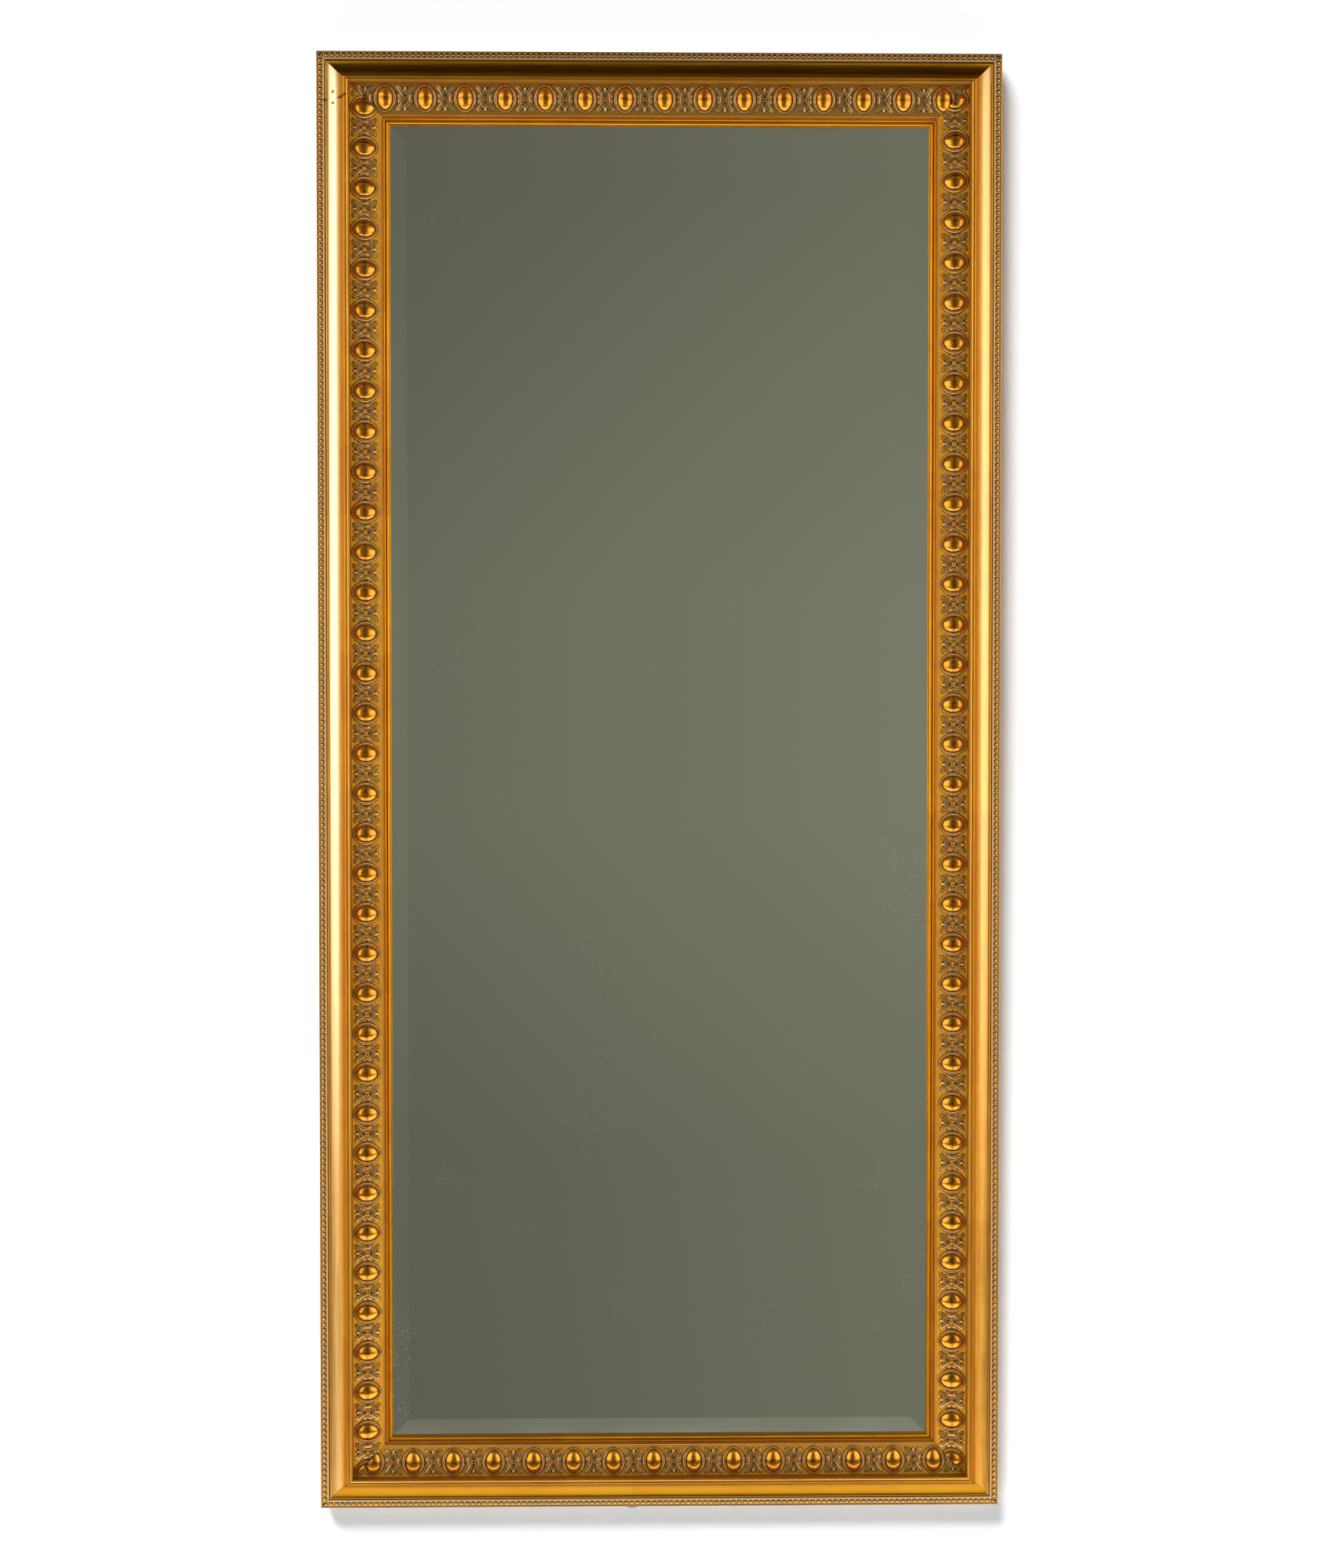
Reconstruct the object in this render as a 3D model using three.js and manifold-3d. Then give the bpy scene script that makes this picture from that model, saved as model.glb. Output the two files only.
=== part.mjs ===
// Pier mirror: a mitred, gilded softwood frame with cast composition ornament round a bevelled plate.
//
// Millimetres, +Z up, +X to the right as seen from the front. The front faces -Y and the flat back of
// the frame lies at Y = 0. The origin is on the back of the top rail, at the middle of its width.
//
// Each of the four sides is modelled lying like the left stile and is then turned about Y into place.
// Within a side, u runs from the outer edge inwards, h from the back plane forwards and s along the side.
import * as THREE from 'three';
import { mergeVertices } from 'three/addons/utils/BufferGeometryUtils.js';
import Module from 'manifold-3d';

const wasm = await Module();
wasm.setup();

// ---------------------------------------------------------------- driving dimensions

// Frame, over its outer edges
const frameWidth = 800;
const frameHeight = 1707;

// Widths of the moulding's members, from the outer edge inwards
const edgeFilletWidth = 1.7;
const beadSeatWidth = 5.8;
const flatFilletWidth = 2.2;
const quirkWidth = 1.0;
const astragalWidth = 2.3;
const coveWidth = 20.7;
const ridgeFilletWidth = 1.5;
const ridgeHollowWidth = 1.8;
const innerFilletWidth = 2.6;
const ornamentSeatWidth = 34.6;
const sightFilletWidth = 1.4;
const sightHollowWidth = 2.2;
const sightAstragalWidth = 2.0;
const sightQuirkWidth = 0.9;
const sightBeadWidth = 3.7;

// Heights of the moulding's members
const edgeHeight = 19.2;
const beadSeatDepth = 1.2;
const flatFilletRise = 1.1;
const quirkDepth = 1.8;
const astragalRise = 1.4;
const astragalCrown = 0.5;
const coveRise = 23.9;
const ridgeFilletRise = 0.9;
const ridgeHollowDepth = 0.7;
const innerFilletRise = 1.6;
const ornamentDrop = 18.4;
const ornamentFall = 6.0;
const sightFilletRise = 6.0;
const sightHollowRise = 1.8;
const sightAstragalRise = 3.6;
const sightBeadRise = 2.0;
const lipHeight = 4.0;

// What lies in the rebate, from the back plane forwards
const backRecess = 5.5;
const boardThickness = 4;
const cardThickness = 1;
const plateThickness = 5;
const plateCover = 5.5;
const edgeRoom = 3;
const bevelWidth = 25.4;
const bevelDepth = 2.5;

// Clearances
const fitGap = 0.3;
const mitreGap = 0.2;

// Beading
const beadingBase = 0.8;

// Composition ornament
const groundThickness = 2.0;
const eggRimAcross = 31.5;
const eggRimAlong = 26.5;
const eggRimHeight = 2.6;
const eggRimWidth = 2.6;
const eggHeight = 5.4;
const eggMargin = 0.5;
const leafHeight = 1.7;
const leafSpread = 14.2;
const leafArm = 9.3;
const leafWaist = 3.4;
const groundSink = 0.8;

// The ornament was laid side by side in casts, so its pitch and its start differ a little on each side
const eggRuns = {
  left: { pitch: 46.9, start: -10.4 },
  right: { pitch: 46.9, start: 0 },
  top: { pitch: 46.4, start: 5.5 },
  bottom: { pitch: 47.15, start: 7.7 },
};

// Blocks between the plate's edge and the rebate
const blockLength = 50;
const blockInset = 180;

// Framer's points that hold the backing board, pushed into the wall of the rebate
const pointPitch = 400;
const pointEndDistance = 200;
const pointWidth = 9;
const pointThickness = 1;
const pointHold = 9;
const pointGrip = 8;

// Corner plates and the nails across the mitres
const cornerPlateReach = 80;
const cornerPlateEdge = 18;
const cornerPlateWidth = 16;
const cornerPlateThickness = 1.5;
const cornerScrewInset = 12;
const mitreNailPlace = 50;
const mitreNailLeg = 9;
const mitreNailThickness = 1;
const mitreNailDepth = 8;

// Hangers: a screwed strap whose eye holds a D-ring
const hangerFromTop = 380;
const strapWidth = 16;
const strapLength = 62;
const strapThickness = 1.5;
const strapScrewPlaces = [34, 52];
const ringStock = 3.4;
const ringInnerWidth = 26;
const ringInnerDrop = 22;

// Screws
const screwHeadRadius = 3.6;
const screwHeadHeight = 2.2;
const screwShankRadius = 1.6;
const screwLength = 12;
const screwPoint = 2.5;

// What meets the wall and the shelf
const bumperRadius = 9;
const bumperHeight = 8;
const bumperFromEnd = 140;
const bumperFromEdge = 40;
const glideRadius = 9;
const glideRise = 3.2;
const glideNailRadius = 1.3;
const glideNailLength = 14;
const glidePlace = 32.4;

// How finely round shapes are faceted
const screwSegments = 6;
const eggSegments = 8;
const eyeSegments = 12;
const glideSegments = 14;
const bumperSegments = 16;

// ---------------------------------------------------------------- sizes that follow

const uBeadSeat = edgeFilletWidth;
const uFlatFillet = uBeadSeat + beadSeatWidth;
const uQuirk = uFlatFillet + flatFilletWidth;
const uAstragal = uQuirk + quirkWidth;
const uCove = uAstragal + astragalWidth;
const uRidge = uCove + coveWidth;
const uRidgeHollow = uRidge + ridgeFilletWidth;
const uInnerFillet = uRidgeHollow + ridgeHollowWidth;
const uOrnament = uInnerFillet + innerFilletWidth;
const uSightFillet = uOrnament + ornamentSeatWidth;
const uSightHollow = uSightFillet + sightFilletWidth;
const uSightAstragal = uSightHollow + sightHollowWidth;
const uSightQuirk = uSightAstragal + sightAstragalWidth;
const uSightBead = uSightQuirk + sightQuirkWidth;
const uSight = uSightBead + sightBeadWidth;
const uPlate = uSight - plateCover;
const uRebate = uPlate - edgeRoom;

const hBeadSeat = edgeHeight - beadSeatDepth;
const hFlatFillet = edgeHeight + flatFilletRise;
const hQuirk = hFlatFillet - quirkDepth;
const hAstragal = hQuirk + astragalRise;
const hRidge = hAstragal + coveRise;
const hRidgeFillet = hRidge + ridgeFilletRise;
const hRidgeHollow = hRidgeFillet - ridgeHollowDepth;
const hInnerFillet = hRidgeFillet + innerFilletRise;
const hSeatOuter = hInnerFillet - ornamentDrop;
const hSeatInner = hSeatOuter - ornamentFall;

const hBoardBack = backRecess;
const hCardBack = hBoardBack + boardThickness + fitGap;
const hPlateBack = hCardBack + cardThickness + fitGap;
const hPlateFront = hPlateBack + plateThickness;
const bevelSlope = bevelDepth / bevelWidth;
const hLip = hPlateFront - bevelSlope * (bevelWidth - plateCover) + fitGap;
const hSight = hLip + lipHeight;

const halfWidth = frameWidth / 2;
const halfHeight = frameHeight / 2;
const plateHalfWidth = halfWidth - uPlate;
const plateHalfHeight = halfHeight - uPlate;
const hSightHollow = hSight + sightHollowRise;
const uEgg = uOrnament + fitGap + eggMargin + eggRimAcross / 2;

const screwHole = screwShankRadius + fitGap;
const screwReach = screwLength + screwPoint + fitGap;
const hPoint = hBoardBack - fitGap;
const uCornerScrew = cornerPlateEdge + cornerPlateWidth / 2;
const cornerPlateBack = fitGap + cornerPlateThickness;
const cornerScrewPlace = cornerPlateReach - cornerScrewInset;
const uHanger = uRebate / 2;
const hangerLevel = halfHeight - hangerFromTop;
const strapBack = fitGap + strapThickness;
const eyeInner = (ringStock / 2 / Math.cos(Math.PI / 8) + fitGap) / Math.cos(Math.PI / eyeSegments);
const eyeOuter = eyeInner + strapThickness;
const eyeBack = fitGap + eyeOuter;

// ---------------------------------------------------------------- materials

const material = (color, roughness, metalness) => (
  new THREE.MeshStandardMaterial({ color, roughness, metalness }));
const finishes = {
  gilding: () => material(0xc9963f, 0.38, 0.85),
  ornament: () => material(0xb98238, 0.42, 0.8),
  beading: () => material(0xa67a3c, 0.5, 0.7),
  silver: () => material(0x6b6d64, 0.04, 1.0),
  card: () => material(0x8b8577, 0.95, 0),
  board: () => material(0x7a5233, 0.9, 0),
  cork: () => material(0xa8794d, 0.95, 0),
  zinc: () => material(0xb4b6b5, 0.4, 0.9),
  iron: () => material(0x3a3a3c, 0.5, 0.8),
  rubber: () => material(0x1d1d1f, 0.85, 0),
};

// ---------------------------------------------------------------- geometry helpers

// A closed geometry as a solid that can be joined and cut.
function toSolid(geometry) {
  const bare = geometry.clone();
  bare.deleteAttribute('normal');
  bare.deleteAttribute('uv');
  const merged = mergeVertices(bare, 1e-4);
  const vertProperties = new Float32Array(merged.attributes.position.array);
  const triVerts = new Uint32Array(merged.index.array);
  return new wasm.Manifold(new wasm.Mesh({ numProp: 3, vertProperties, triVerts }));
}

// A solid back as a geometry.
function toGeometry(solid) {
  const mesh = solid.getMesh();
  const geometry = new THREE.BufferGeometry();
  geometry.setAttribute('position', new THREE.BufferAttribute(mesh.vertProperties, 3));
  geometry.setIndex(new THREE.BufferAttribute(mesh.triVerts, 1));
  geometry.computeVertexNormals();
  return geometry;
}

// The first geometry with all of the others cut out of it.
function cut(geometry, cutters) {
  const tools = cutters.map(toSolid);
  return toGeometry(tools.reduce((body, tool) => body.subtract(tool), toSolid(geometry)));
}

// All the geometries joined into one solid.
function join(geometries) {
  const solids = geometries.map(toSolid);
  return toGeometry(solids.reduce((body, solid) => body.add(solid)));
}

// A box between two corners.
function boxBetween([x0, y0, z0], [x1, y1, z1]) {
  const box = new THREE.BoxGeometry(x1 - x0, y1 - y0, z1 - z0);
  return box.translate((x0 + x1) / 2, (y0 + y1) / 2, (z0 + z1) / 2);
}

// A cylinder along Y from one height to another.
function cylinderAlongY(radius, y0, y1, segments) {
  const cylinder = new THREE.CylinderGeometry(radius, radius, y1 - y0, segments);
  return cylinder.translate(0, (y0 + y1) / 2, 0);
}

// A flat outline of [x, z] points, between two values of y.
function plateOutline(points, y0, y1) {
  const shape = new THREE.Shape(points.map(([x, z]) => new THREE.Vector2(x, z)));
  const plate = new THREE.ExtrudeGeometry(shape, { depth: y1 - y0, bevelEnabled: false });
  return plate.rotateX(Math.PI / 2).translate(0, y1, 0);
}

// A closed solid of revolution about Y. The profile of [radius, y] points runs upwards.
function turnedSolid(profile, segments) {
  return new THREE.LatheGeometry(profile.map(([radius, y]) => new THREE.Vector2(radius, y)), segments);
}

// Points on an elliptical arc, with its angle measured from straight down towards +u.
function arc(uCentre, hCentre, uRadius, hRadius, from, to, steps) {
  return Array.from({ length: steps + 1 }, (_, i) => {
    const angle = from + ((to - from) * i) / steps;
    return [uCentre + uRadius * Math.sin(angle), hCentre - hRadius * Math.cos(angle)];
  });
}

// A rounded top from the right foot over to the left foot, standing on a level.
function roundTop(uLeft, width, level, rise, steps) {
  return arc(uLeft + width / 2, level, width / 2, rise, Math.PI / 2, (3 * Math.PI) / 2, steps);
}

// ---------------------------------------------------------------- one side of the frame

// reach is how far a side's outer edge lies from the middle, half is half its outer length, and
// hangerUp is the way along s that points up on a side that carries a hanger.
const sides = [
  { key: 'left', member: 'left_stile', turn: 0, reach: halfWidth, half: halfHeight, hangerUp: 1 },
  { key: 'right', member: 'right_stile', turn: Math.PI, reach: halfWidth, half: halfHeight, hangerUp: -1 },
  { key: 'top', member: 'top_rail', turn: Math.PI / 2, reach: halfHeight, half: halfWidth },
  { key: 'bottom', member: 'bottom_rail', turn: -Math.PI / 2, reach: halfHeight, half: halfWidth },
];

// A section of [u, h] points run along a side and cut at 45 degrees at both ends, for the mitres.
function mitredRun(section, side) {
  const shape = new THREE.Shape(section.map(([u, h]) => new THREE.Vector2(u, h)));
  const run = new THREE.ExtrudeGeometry(shape, { depth: 1, bevelEnabled: false });
  const position = run.attributes.position;
  for (let i = 0; i < position.count; i += 1) {
    const u = position.getX(i);
    const h = position.getY(i);
    const end = position.getZ(i) < 0.5 ? 1 : -1;
    position.setXYZ(i, u - side.reach, -h, end * (side.half - u - mitreGap));
  }
  run.computeVertexNormals();
  return run;
}

// The moulding's section: back, rebate, sight members, ornament seat, ridge, cove, beading seat, edge.
function mouldingSection() {
  return [
    [0, 0],
    [uRebate, 0],
    [uRebate, hLip],
    [uSight, hLip],
    ...roundTop(uSightBead, sightBeadWidth, hSight, sightBeadRise, 6),
    [uSightQuirk, hSight],
    ...roundTop(uSightAstragal, sightAstragalWidth, hSightHollow, sightAstragalRise - sightHollowRise, 4),
    [uSightHollow, hSightHollow],
    [uSightHollow, hSight + sightFilletRise],
    [uSightFillet, hSight + sightFilletRise],
    [uSightFillet, hSeatInner],
    [uOrnament, hSeatOuter],
    [uOrnament, hInnerFillet],
    [uInnerFillet, hInnerFillet],
    [uInnerFillet, hRidgeHollow],
    [uRidgeHollow, hRidgeHollow],
    [uRidgeHollow, hRidgeFillet],
    [uRidge, hRidgeFillet],
    ...arc(uCove, hRidge, coveWidth, coveRise, Math.PI / 2, 0, 9),
    ...roundTop(uAstragal, astragalWidth, hAstragal, astragalCrown, 3).slice(1),
    [uAstragal, hQuirk],
    [uQuirk, hQuirk],
    [uQuirk, hFlatFillet],
    [uFlatFillet, hFlatFillet],
    [uFlatFillet, hBeadSeat],
    [uBeadSeat, hBeadSeat],
    [uBeadSeat, edgeHeight],
    [0, edgeHeight],
  ];
}

// A hole for a screw, drilled from the back at one place on a side.
function screwBore(side, u, s) {
  return cylinderAlongY(screwHole, -screwReach, screwHole, screwSegments).translate(u - side.reach, 0, s);
}

// Where the points are pushed into a side, as values of s.
function pointPlaces(side) {
  const span = 2 * (side.half - pointEndDistance);
  const gaps = Math.max(1, Math.round(span / pointPitch));
  return Array.from({ length: gaps + 1 }, (_, i) => -span / 2 + (span * i) / gaps);
}

// The slot for one point in the wall of the rebate.
function pointSlot(side, s) {
  const x = uRebate - side.reach;
  return boxBetween(
    [x - pointGrip - fitGap, -hPoint - fitGap, s - pointWidth / 2 - fitGap],
    [x + fitGap, pointThickness - hPoint + fitGap, s + pointWidth / 2 + fitGap],
  );
}

// The slot for the leg of the nail across a mitre, at one end of a side.
function mitreNailSlot(side, end) {
  const room = mitreNailThickness / 2 + fitGap;
  const far = end * (side.half - mitreNailPlace + room);
  const near = end * (side.half - mitreNailPlace - mitreNailLeg - fitGap);
  const x = mitreNailPlace - side.reach;
  return boxBetween(
    [x - room, -mitreNailDepth - 2 * fitGap, Math.min(far, near)],
    [x + room, fitGap, Math.max(far, near)],
  );
}

// The hole for the glide's nail, up into the bottom rail.
function glideBore(side) {
  const radius = glideNailRadius + fitGap;
  const bore = new THREE.CylinderGeometry(radius, radius, glideNailLength + 2 * fitGap, screwSegments);
  return bore.rotateZ(Math.PI / 2).translate(glideNailLength / 2 - side.reach, -edgeHeight / 2, glidePlace);
}

// One member of the frame, with everything that is cut or drilled into it.
function frameMember(side) {
  const cuts = pointPlaces(side).map((s) => pointSlot(side, s));
  [1, -1].forEach((end) => {
    cuts.push(screwBore(side, uCornerScrew, end * (side.half - cornerScrewPlace)));
    cuts.push(mitreNailSlot(side, end));
  });
  if (side.hangerUp) {
    strapScrewPlaces.forEach((drop) => {
      cuts.push(screwBore(side, uHanger, side.hangerUp * (hangerLevel - drop)));
    });
  }
  if (side.key === 'bottom') {
    cuts.push(glideBore(side));
  }
  return cut(mitredRun(mouldingSection(), side), cuts);
}

// The strip of beading that lies in the seat next to the outer edge.
function beading(side) {
  const left = uBeadSeat + fitGap;
  const right = uFlatFillet - fitGap;
  const foot = hBeadSeat + fitGap;
  const radius = (right - left) / 2;
  const top = roundTop(left, right - left, foot + beadingBase, radius, 6);
  return mitredRun([[left, foot], [right, foot], ...top], side);
}

// The height of the ground that the eggs and leaves stand on.
const groundHeight = (u) => hSeatOuter - ((u - uOrnament) * ornamentFall) / ornamentSeatWidth
  + fitGap + groundThickness;

// A shape that stands on the ornament's ground, set to its slope at one place on a side.
function onGround(geometry, side, u, s) {
  const slope = Math.atan(ornamentFall / ornamentSeatWidth);
  return geometry.rotateZ(slope).translate(u - side.reach, -groundHeight(u), s);
}

// An egg in its raised oval rim.
function egg() {
  const rimInner = 1 - eggRimWidth / (eggRimAlong / 2);
  const crest = (1 + rimInner) / 2;
  const profile = [
    [0, -groundSink],
    [1, -groundSink],
    [crest, eggRimHeight],
    [rimInner, eggRimHeight / 2],
    [rimInner * 0.6, eggHeight * 0.84],
    [0, eggHeight],
  ];
  return turnedSolid(profile, eggSegments).scale(eggRimAcross / 2, 1, eggRimAlong / 2).rotateX(Math.PI);
}

// A pair of leaves tied at the waist, which fills the gap between two eggs.
function leafPair() {
  const tip = leafSpread * 0.94;
  const outline = [
    [leafSpread, 0], [tip, leafArm], [0, leafWaist], [-tip, leafArm],
    [-leafSpread, 0], [-tip, -leafArm], [0, -leafWaist], [tip, -leafArm],
  ];
  return plateOutline(outline, -leafHeight, groundSink);
}

// The composition ornament of one side: a thin ground with its eggs and leaves, cut off at the mitres.
function eggAndLeaf(side) {
  const outer = uOrnament + fitGap;
  const inner = uSightFillet - fitGap;
  const under = (u) => groundHeight(u) - groundThickness;
  const ground = mitredRun([[outer, under(outer)], [inner, under(inner)], [inner, groundHeight(inner)],
    [outer, groundHeight(outer)]], side);
  const room = mitredRun([[outer, 0], [inner, 0], [inner, 2 * hRidge], [outer, 2 * hRidge]], side);
  const { pitch, start } = eggRuns[side.key];
  const limit = side.half - uOrnament;
  const first = Math.ceil((-limit - start) / pitch);
  const last = Math.floor((limit - start) / pitch);
  const pieces = [ground];
  for (let i = first; i <= last; i += 1) {
    pieces.push(onGround(egg(), side, uEgg, start + i * pitch));
  }
  for (let i = first - 1; i <= last; i += 1) {
    pieces.push(onGround(leafPair(), side, uEgg, start + (i + 0.5) * pitch));
  }
  const whole = pieces.map(toSolid).reduce((body, piece) => body.add(piece));
  return toGeometry(whole.intersect(toSolid(room)));
}

// ---------------------------------------------------------------- what lies in the rebate

// A flat sheet that fills the rebate, from one height to another.
function rebateSheet(hBack, hFront) {
  return boxBetween([-plateHalfWidth, -hFront, -plateHalfHeight], [plateHalfWidth, -hBack, plateHalfHeight]);
}

// The mirror plate, with a bevel ground round its front.
function bevelledPlate() {
  const plate = new THREE.BoxGeometry(2 * plateHalfWidth, plateThickness, 2 * plateHalfHeight, 1, 2, 1);
  const position = plate.attributes.position;
  for (let i = 0; i < position.count; i += 1) {
    const level = Math.round((2 * position.getY(i)) / plateThickness);
    const inset = level < 0 ? bevelWidth : 0;
    const x = Math.sign(position.getX(i)) * (plateHalfWidth - inset);
    const z = Math.sign(position.getZ(i)) * (plateHalfHeight - inset);
    const h = [hPlateFront, hPlateFront - bevelDepth, hPlateBack][level + 1];
    position.setXYZ(i, x, -h, z);
  }
  plate.computeVertexNormals();
  return plate;
}

// A block between the rebate and the edge of the plate, at one place along a side.
function edgeBlock(side, s) {
  return boxBetween(
    [uRebate + fitGap - side.reach, fitGap - hLip, s - blockLength / 2],
    [uPlate - fitGap - side.reach, -hBoardBack, s + blockLength / 2],
  );
}

// ---------------------------------------------------------------- fittings on the back

// A screw whose head bears on y = 0 and whose shank points forwards.
function screw() {
  return turnedSolid([
    [0, -screwLength - screwPoint],
    [screwShankRadius, -screwLength],
    [screwShankRadius, 0],
    [screwHeadRadius, 0],
    [0, screwHeadHeight],
  ], screwSegments);
}

// A framer's point: its tip is in the wall of the rebate and its tail lies behind the backing board.
function framersPoint(side, s) {
  const root = uRebate - side.reach;
  const half = pointWidth / 2;
  const outline = [
    [root - pointGrip, 0], [root - pointGrip / 2, half], [root + edgeRoom + pointHold, half],
    [root + edgeRoom + pointHold, -half], [root - pointGrip / 2, -half],
  ];
  return plateOutline(outline, -hPoint, pointThickness - hPoint).translate(0, 0, s);
}

// The four outer corners, each turned so that its own frame has the sides along +X and -Z.
const corners = [
  { key: 'top_left', turn: 0, x: -halfWidth, z: halfHeight },
  { key: 'top_right', turn: Math.PI / 2, x: halfWidth, z: halfHeight },
  { key: 'bottom_right', turn: Math.PI, x: halfWidth, z: -halfHeight },
  { key: 'bottom_left', turn: -Math.PI / 2, x: -halfWidth, z: -halfHeight },
];

// An L-shaped outline of [x, z] points in a corner's own frame.
function cornerOutline(edge, reach, width) {
  return [
    [edge, -edge],
    [edge, -reach],
    [edge + width, -reach],
    [edge + width, -edge - width],
    [reach, -edge - width],
    [reach, -edge],
  ];
}

// The places of a corner's two screws, as [x, z] in the corner's own frame.
const cornerScrewPoints = [[cornerScrewPlace, -uCornerScrew], [uCornerScrew, -cornerScrewPlace]];

// A steel plate screwed over a mitre.
function cornerPlate() {
  const outline = cornerOutline(cornerPlateEdge, cornerPlateReach, cornerPlateWidth);
  const plate = plateOutline(outline, fitGap, cornerPlateBack);
  const bores = cornerScrewPoints.map(([x, z]) => (
    cylinderAlongY(screwHole, 0, 2 * cornerPlateBack, screwSegments).translate(x, 0, z)));
  return cut(plate, bores);
}

// The bent nail driven across a mitre.
function mitreNail() {
  const near = mitreNailPlace - mitreNailThickness / 2;
  const outline = cornerOutline(near, mitreNailPlace + mitreNailLeg, mitreNailThickness);
  return plateOutline(outline, -mitreNailDepth - fitGap, -fitGap);
}

// The hanger's strap, with its eye on the X axis and its screw holes below.
function hangerStrap() {
  const eye = new THREE.CylinderGeometry(eyeOuter, eyeOuter, strapWidth, eyeSegments);
  eye.rotateZ(Math.PI / 2);
  const plate = boxBetween([-strapWidth / 2, -eyeOuter, -strapLength],
    [strapWidth / 2, strapThickness - eyeOuter, 0]);
  const bore = new THREE.CylinderGeometry(eyeInner, eyeInner, 2 * strapWidth, eyeSegments);
  bore.rotateZ(Math.PI / 2);
  const screwBores = strapScrewPlaces.map((drop) => (
    cylinderAlongY(screwHole, -2 * eyeOuter, 0, screwSegments).translate(0, 0, -drop)));
  return cut(join([eye, plate]), [bore, ...screwBores]);
}

// The hanger's D-ring, hanging from its bar, which lies on the X axis.
function hangerRing() {
  const half = ringStock / 2;
  const inner = ringInnerWidth / 2;
  const bowTop = -half - ringInnerDrop + inner;
  const outline = (side, top) => {
    const bow = arc(0, bowTop, side, side, -Math.PI / 2, Math.PI / 2, 8);
    return [[-side, top], ...bow, [side, top]].map(([x, z]) => new THREE.Vector2(x, z));
  };
  const shape = new THREE.Shape(outline(inner + ringStock, half));
  shape.holes.push(new THREE.Path(outline(inner, -half)));
  const chamfer = ringStock * (1 - Math.SQRT1_2);
  const ring = new THREE.ExtrudeGeometry(shape, {
    depth: ringStock - chamfer,
    bevelThickness: chamfer / 2,
    bevelSize: chamfer / 2,
    bevelOffset: -chamfer / 2,
    bevelSegments: 1,
  });
  return ring.translate(0, 0, -(ringStock - chamfer) / 2).rotateX(Math.PI / 2);
}

// The small domed glide nailed under the bottom edge, pointing down.
function bottomGlide() {
  return turnedSolid([
    [0, -glideRise],
    [glideRadius * 0.6, -glideRise * 0.78],
    [glideRadius, -fitGap - glideRise * 0.1],
    [glideRadius, -fitGap],
    [glideNailRadius, -fitGap],
    [glideNailRadius, glideNailLength - glideNailRadius],
    [0, glideNailLength],
  ], glideSegments).rotateX(Math.PI / 2);
}

// ---------------------------------------------------------------- the assembly

const mirror = new THREE.Group();
mirror.position.z = uRebate / 2 - halfHeight;

// Adds a named piece to a group.
function addPiece(group, name, geometry, finish, place = [0, 0, 0]) {
  const piece = new THREE.Mesh(geometry, finishes[finish]());
  piece.name = name;
  piece.position.set(...place);
  group.add(piece);
}

sides.forEach((side) => {
  const group = new THREE.Group();
  group.rotation.y = side.turn;
  addPiece(group, side.member, frameMember(side), 'gilding');
  addPiece(group, `egg_and_leaf_${side.key}`, eggAndLeaf(side), 'ornament');
  addPiece(group, `beading_${side.key}`, beading(side), 'beading');
  pointPlaces(side).forEach((s, i) => {
    addPiece(group, `framers_point_${side.key}_${i + 1}`, framersPoint(side, s), 'zinc');
  });
  if (side.key === 'bottom') {
    const place = side.half - uPlate - blockInset;
    addPiece(group, 'setting_block_left', edgeBlock(side, place), 'cork');
    addPiece(group, 'setting_block_right', edgeBlock(side, -place), 'cork');
  } else if (side.hangerUp) {
    addPiece(group, `edge_block_${side.key}`, edgeBlock(side, 0), 'cork');
  }
  mirror.add(group);
});

addPiece(mirror, 'mirror_plate', bevelledPlate(), 'silver');
addPiece(mirror, 'barrier_card', rebateSheet(hCardBack, hCardBack + cardThickness), 'card');
addPiece(mirror, 'backing_board', rebateSheet(hBoardBack, hBoardBack + boardThickness), 'board');

corners.forEach((corner) => {
  const group = new THREE.Group();
  group.position.set(corner.x, 0, corner.z);
  group.rotation.y = corner.turn;
  addPiece(group, `corner_plate_${corner.key}`, cornerPlate(), 'zinc');
  addPiece(group, `mitre_nail_${corner.key}`, mitreNail(), 'zinc');
  cornerScrewPoints.forEach(([x, z], i) => {
    const place = [x, cornerPlateBack + fitGap, z];
    addPiece(group, `corner_screw_${corner.key}_${i + 1}`, screw(), 'zinc', place);
  });
  mirror.add(group);
});

[['left', -1], ['right', 1]].forEach(([key, hand]) => {
  const x = hand * (halfWidth - uHanger);
  addPiece(mirror, `hanger_strap_${key}`, hangerStrap(), 'zinc', [x, eyeBack, hangerLevel]);
  addPiece(mirror, `hanger_ring_${key}`, hangerRing(), 'zinc', [x, eyeBack, hangerLevel]);
  strapScrewPlaces.forEach((drop, i) => {
    const place = [x, strapBack + fitGap, hangerLevel - drop];
    addPiece(mirror, `hanger_screw_${key}_${i + 1}`, screw(), 'zinc', place);
  });
  const bumper = cylinderAlongY(bumperRadius, fitGap, fitGap + bumperHeight, bumperSegments);
  const place = [hand * (halfWidth - bumperFromEnd), 0, bumperFromEdge - halfHeight];
  addPiece(mirror, `wall_bumper_${key}`, bumper, 'rubber', place);
});
addPiece(mirror, 'bottom_glide', bottomGlide(), 'iron', [-glidePlace, -edgeHeight / 2, -halfHeight]);

export default mirror;
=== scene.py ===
"""Pier mirror: a gilded frame with eggs and leaves round a bevelled plate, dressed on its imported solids.

Sizes in the classes are millimetres. A side of the frame is modelled lying flat, with x across it from its
outer edge, y along it from its middle and z forwards from the back plane, and is then turned into place.
"""

import logging
import math
import random
from dataclasses import dataclass
from enum import Enum
from typing import Iterable, Sequence

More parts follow.
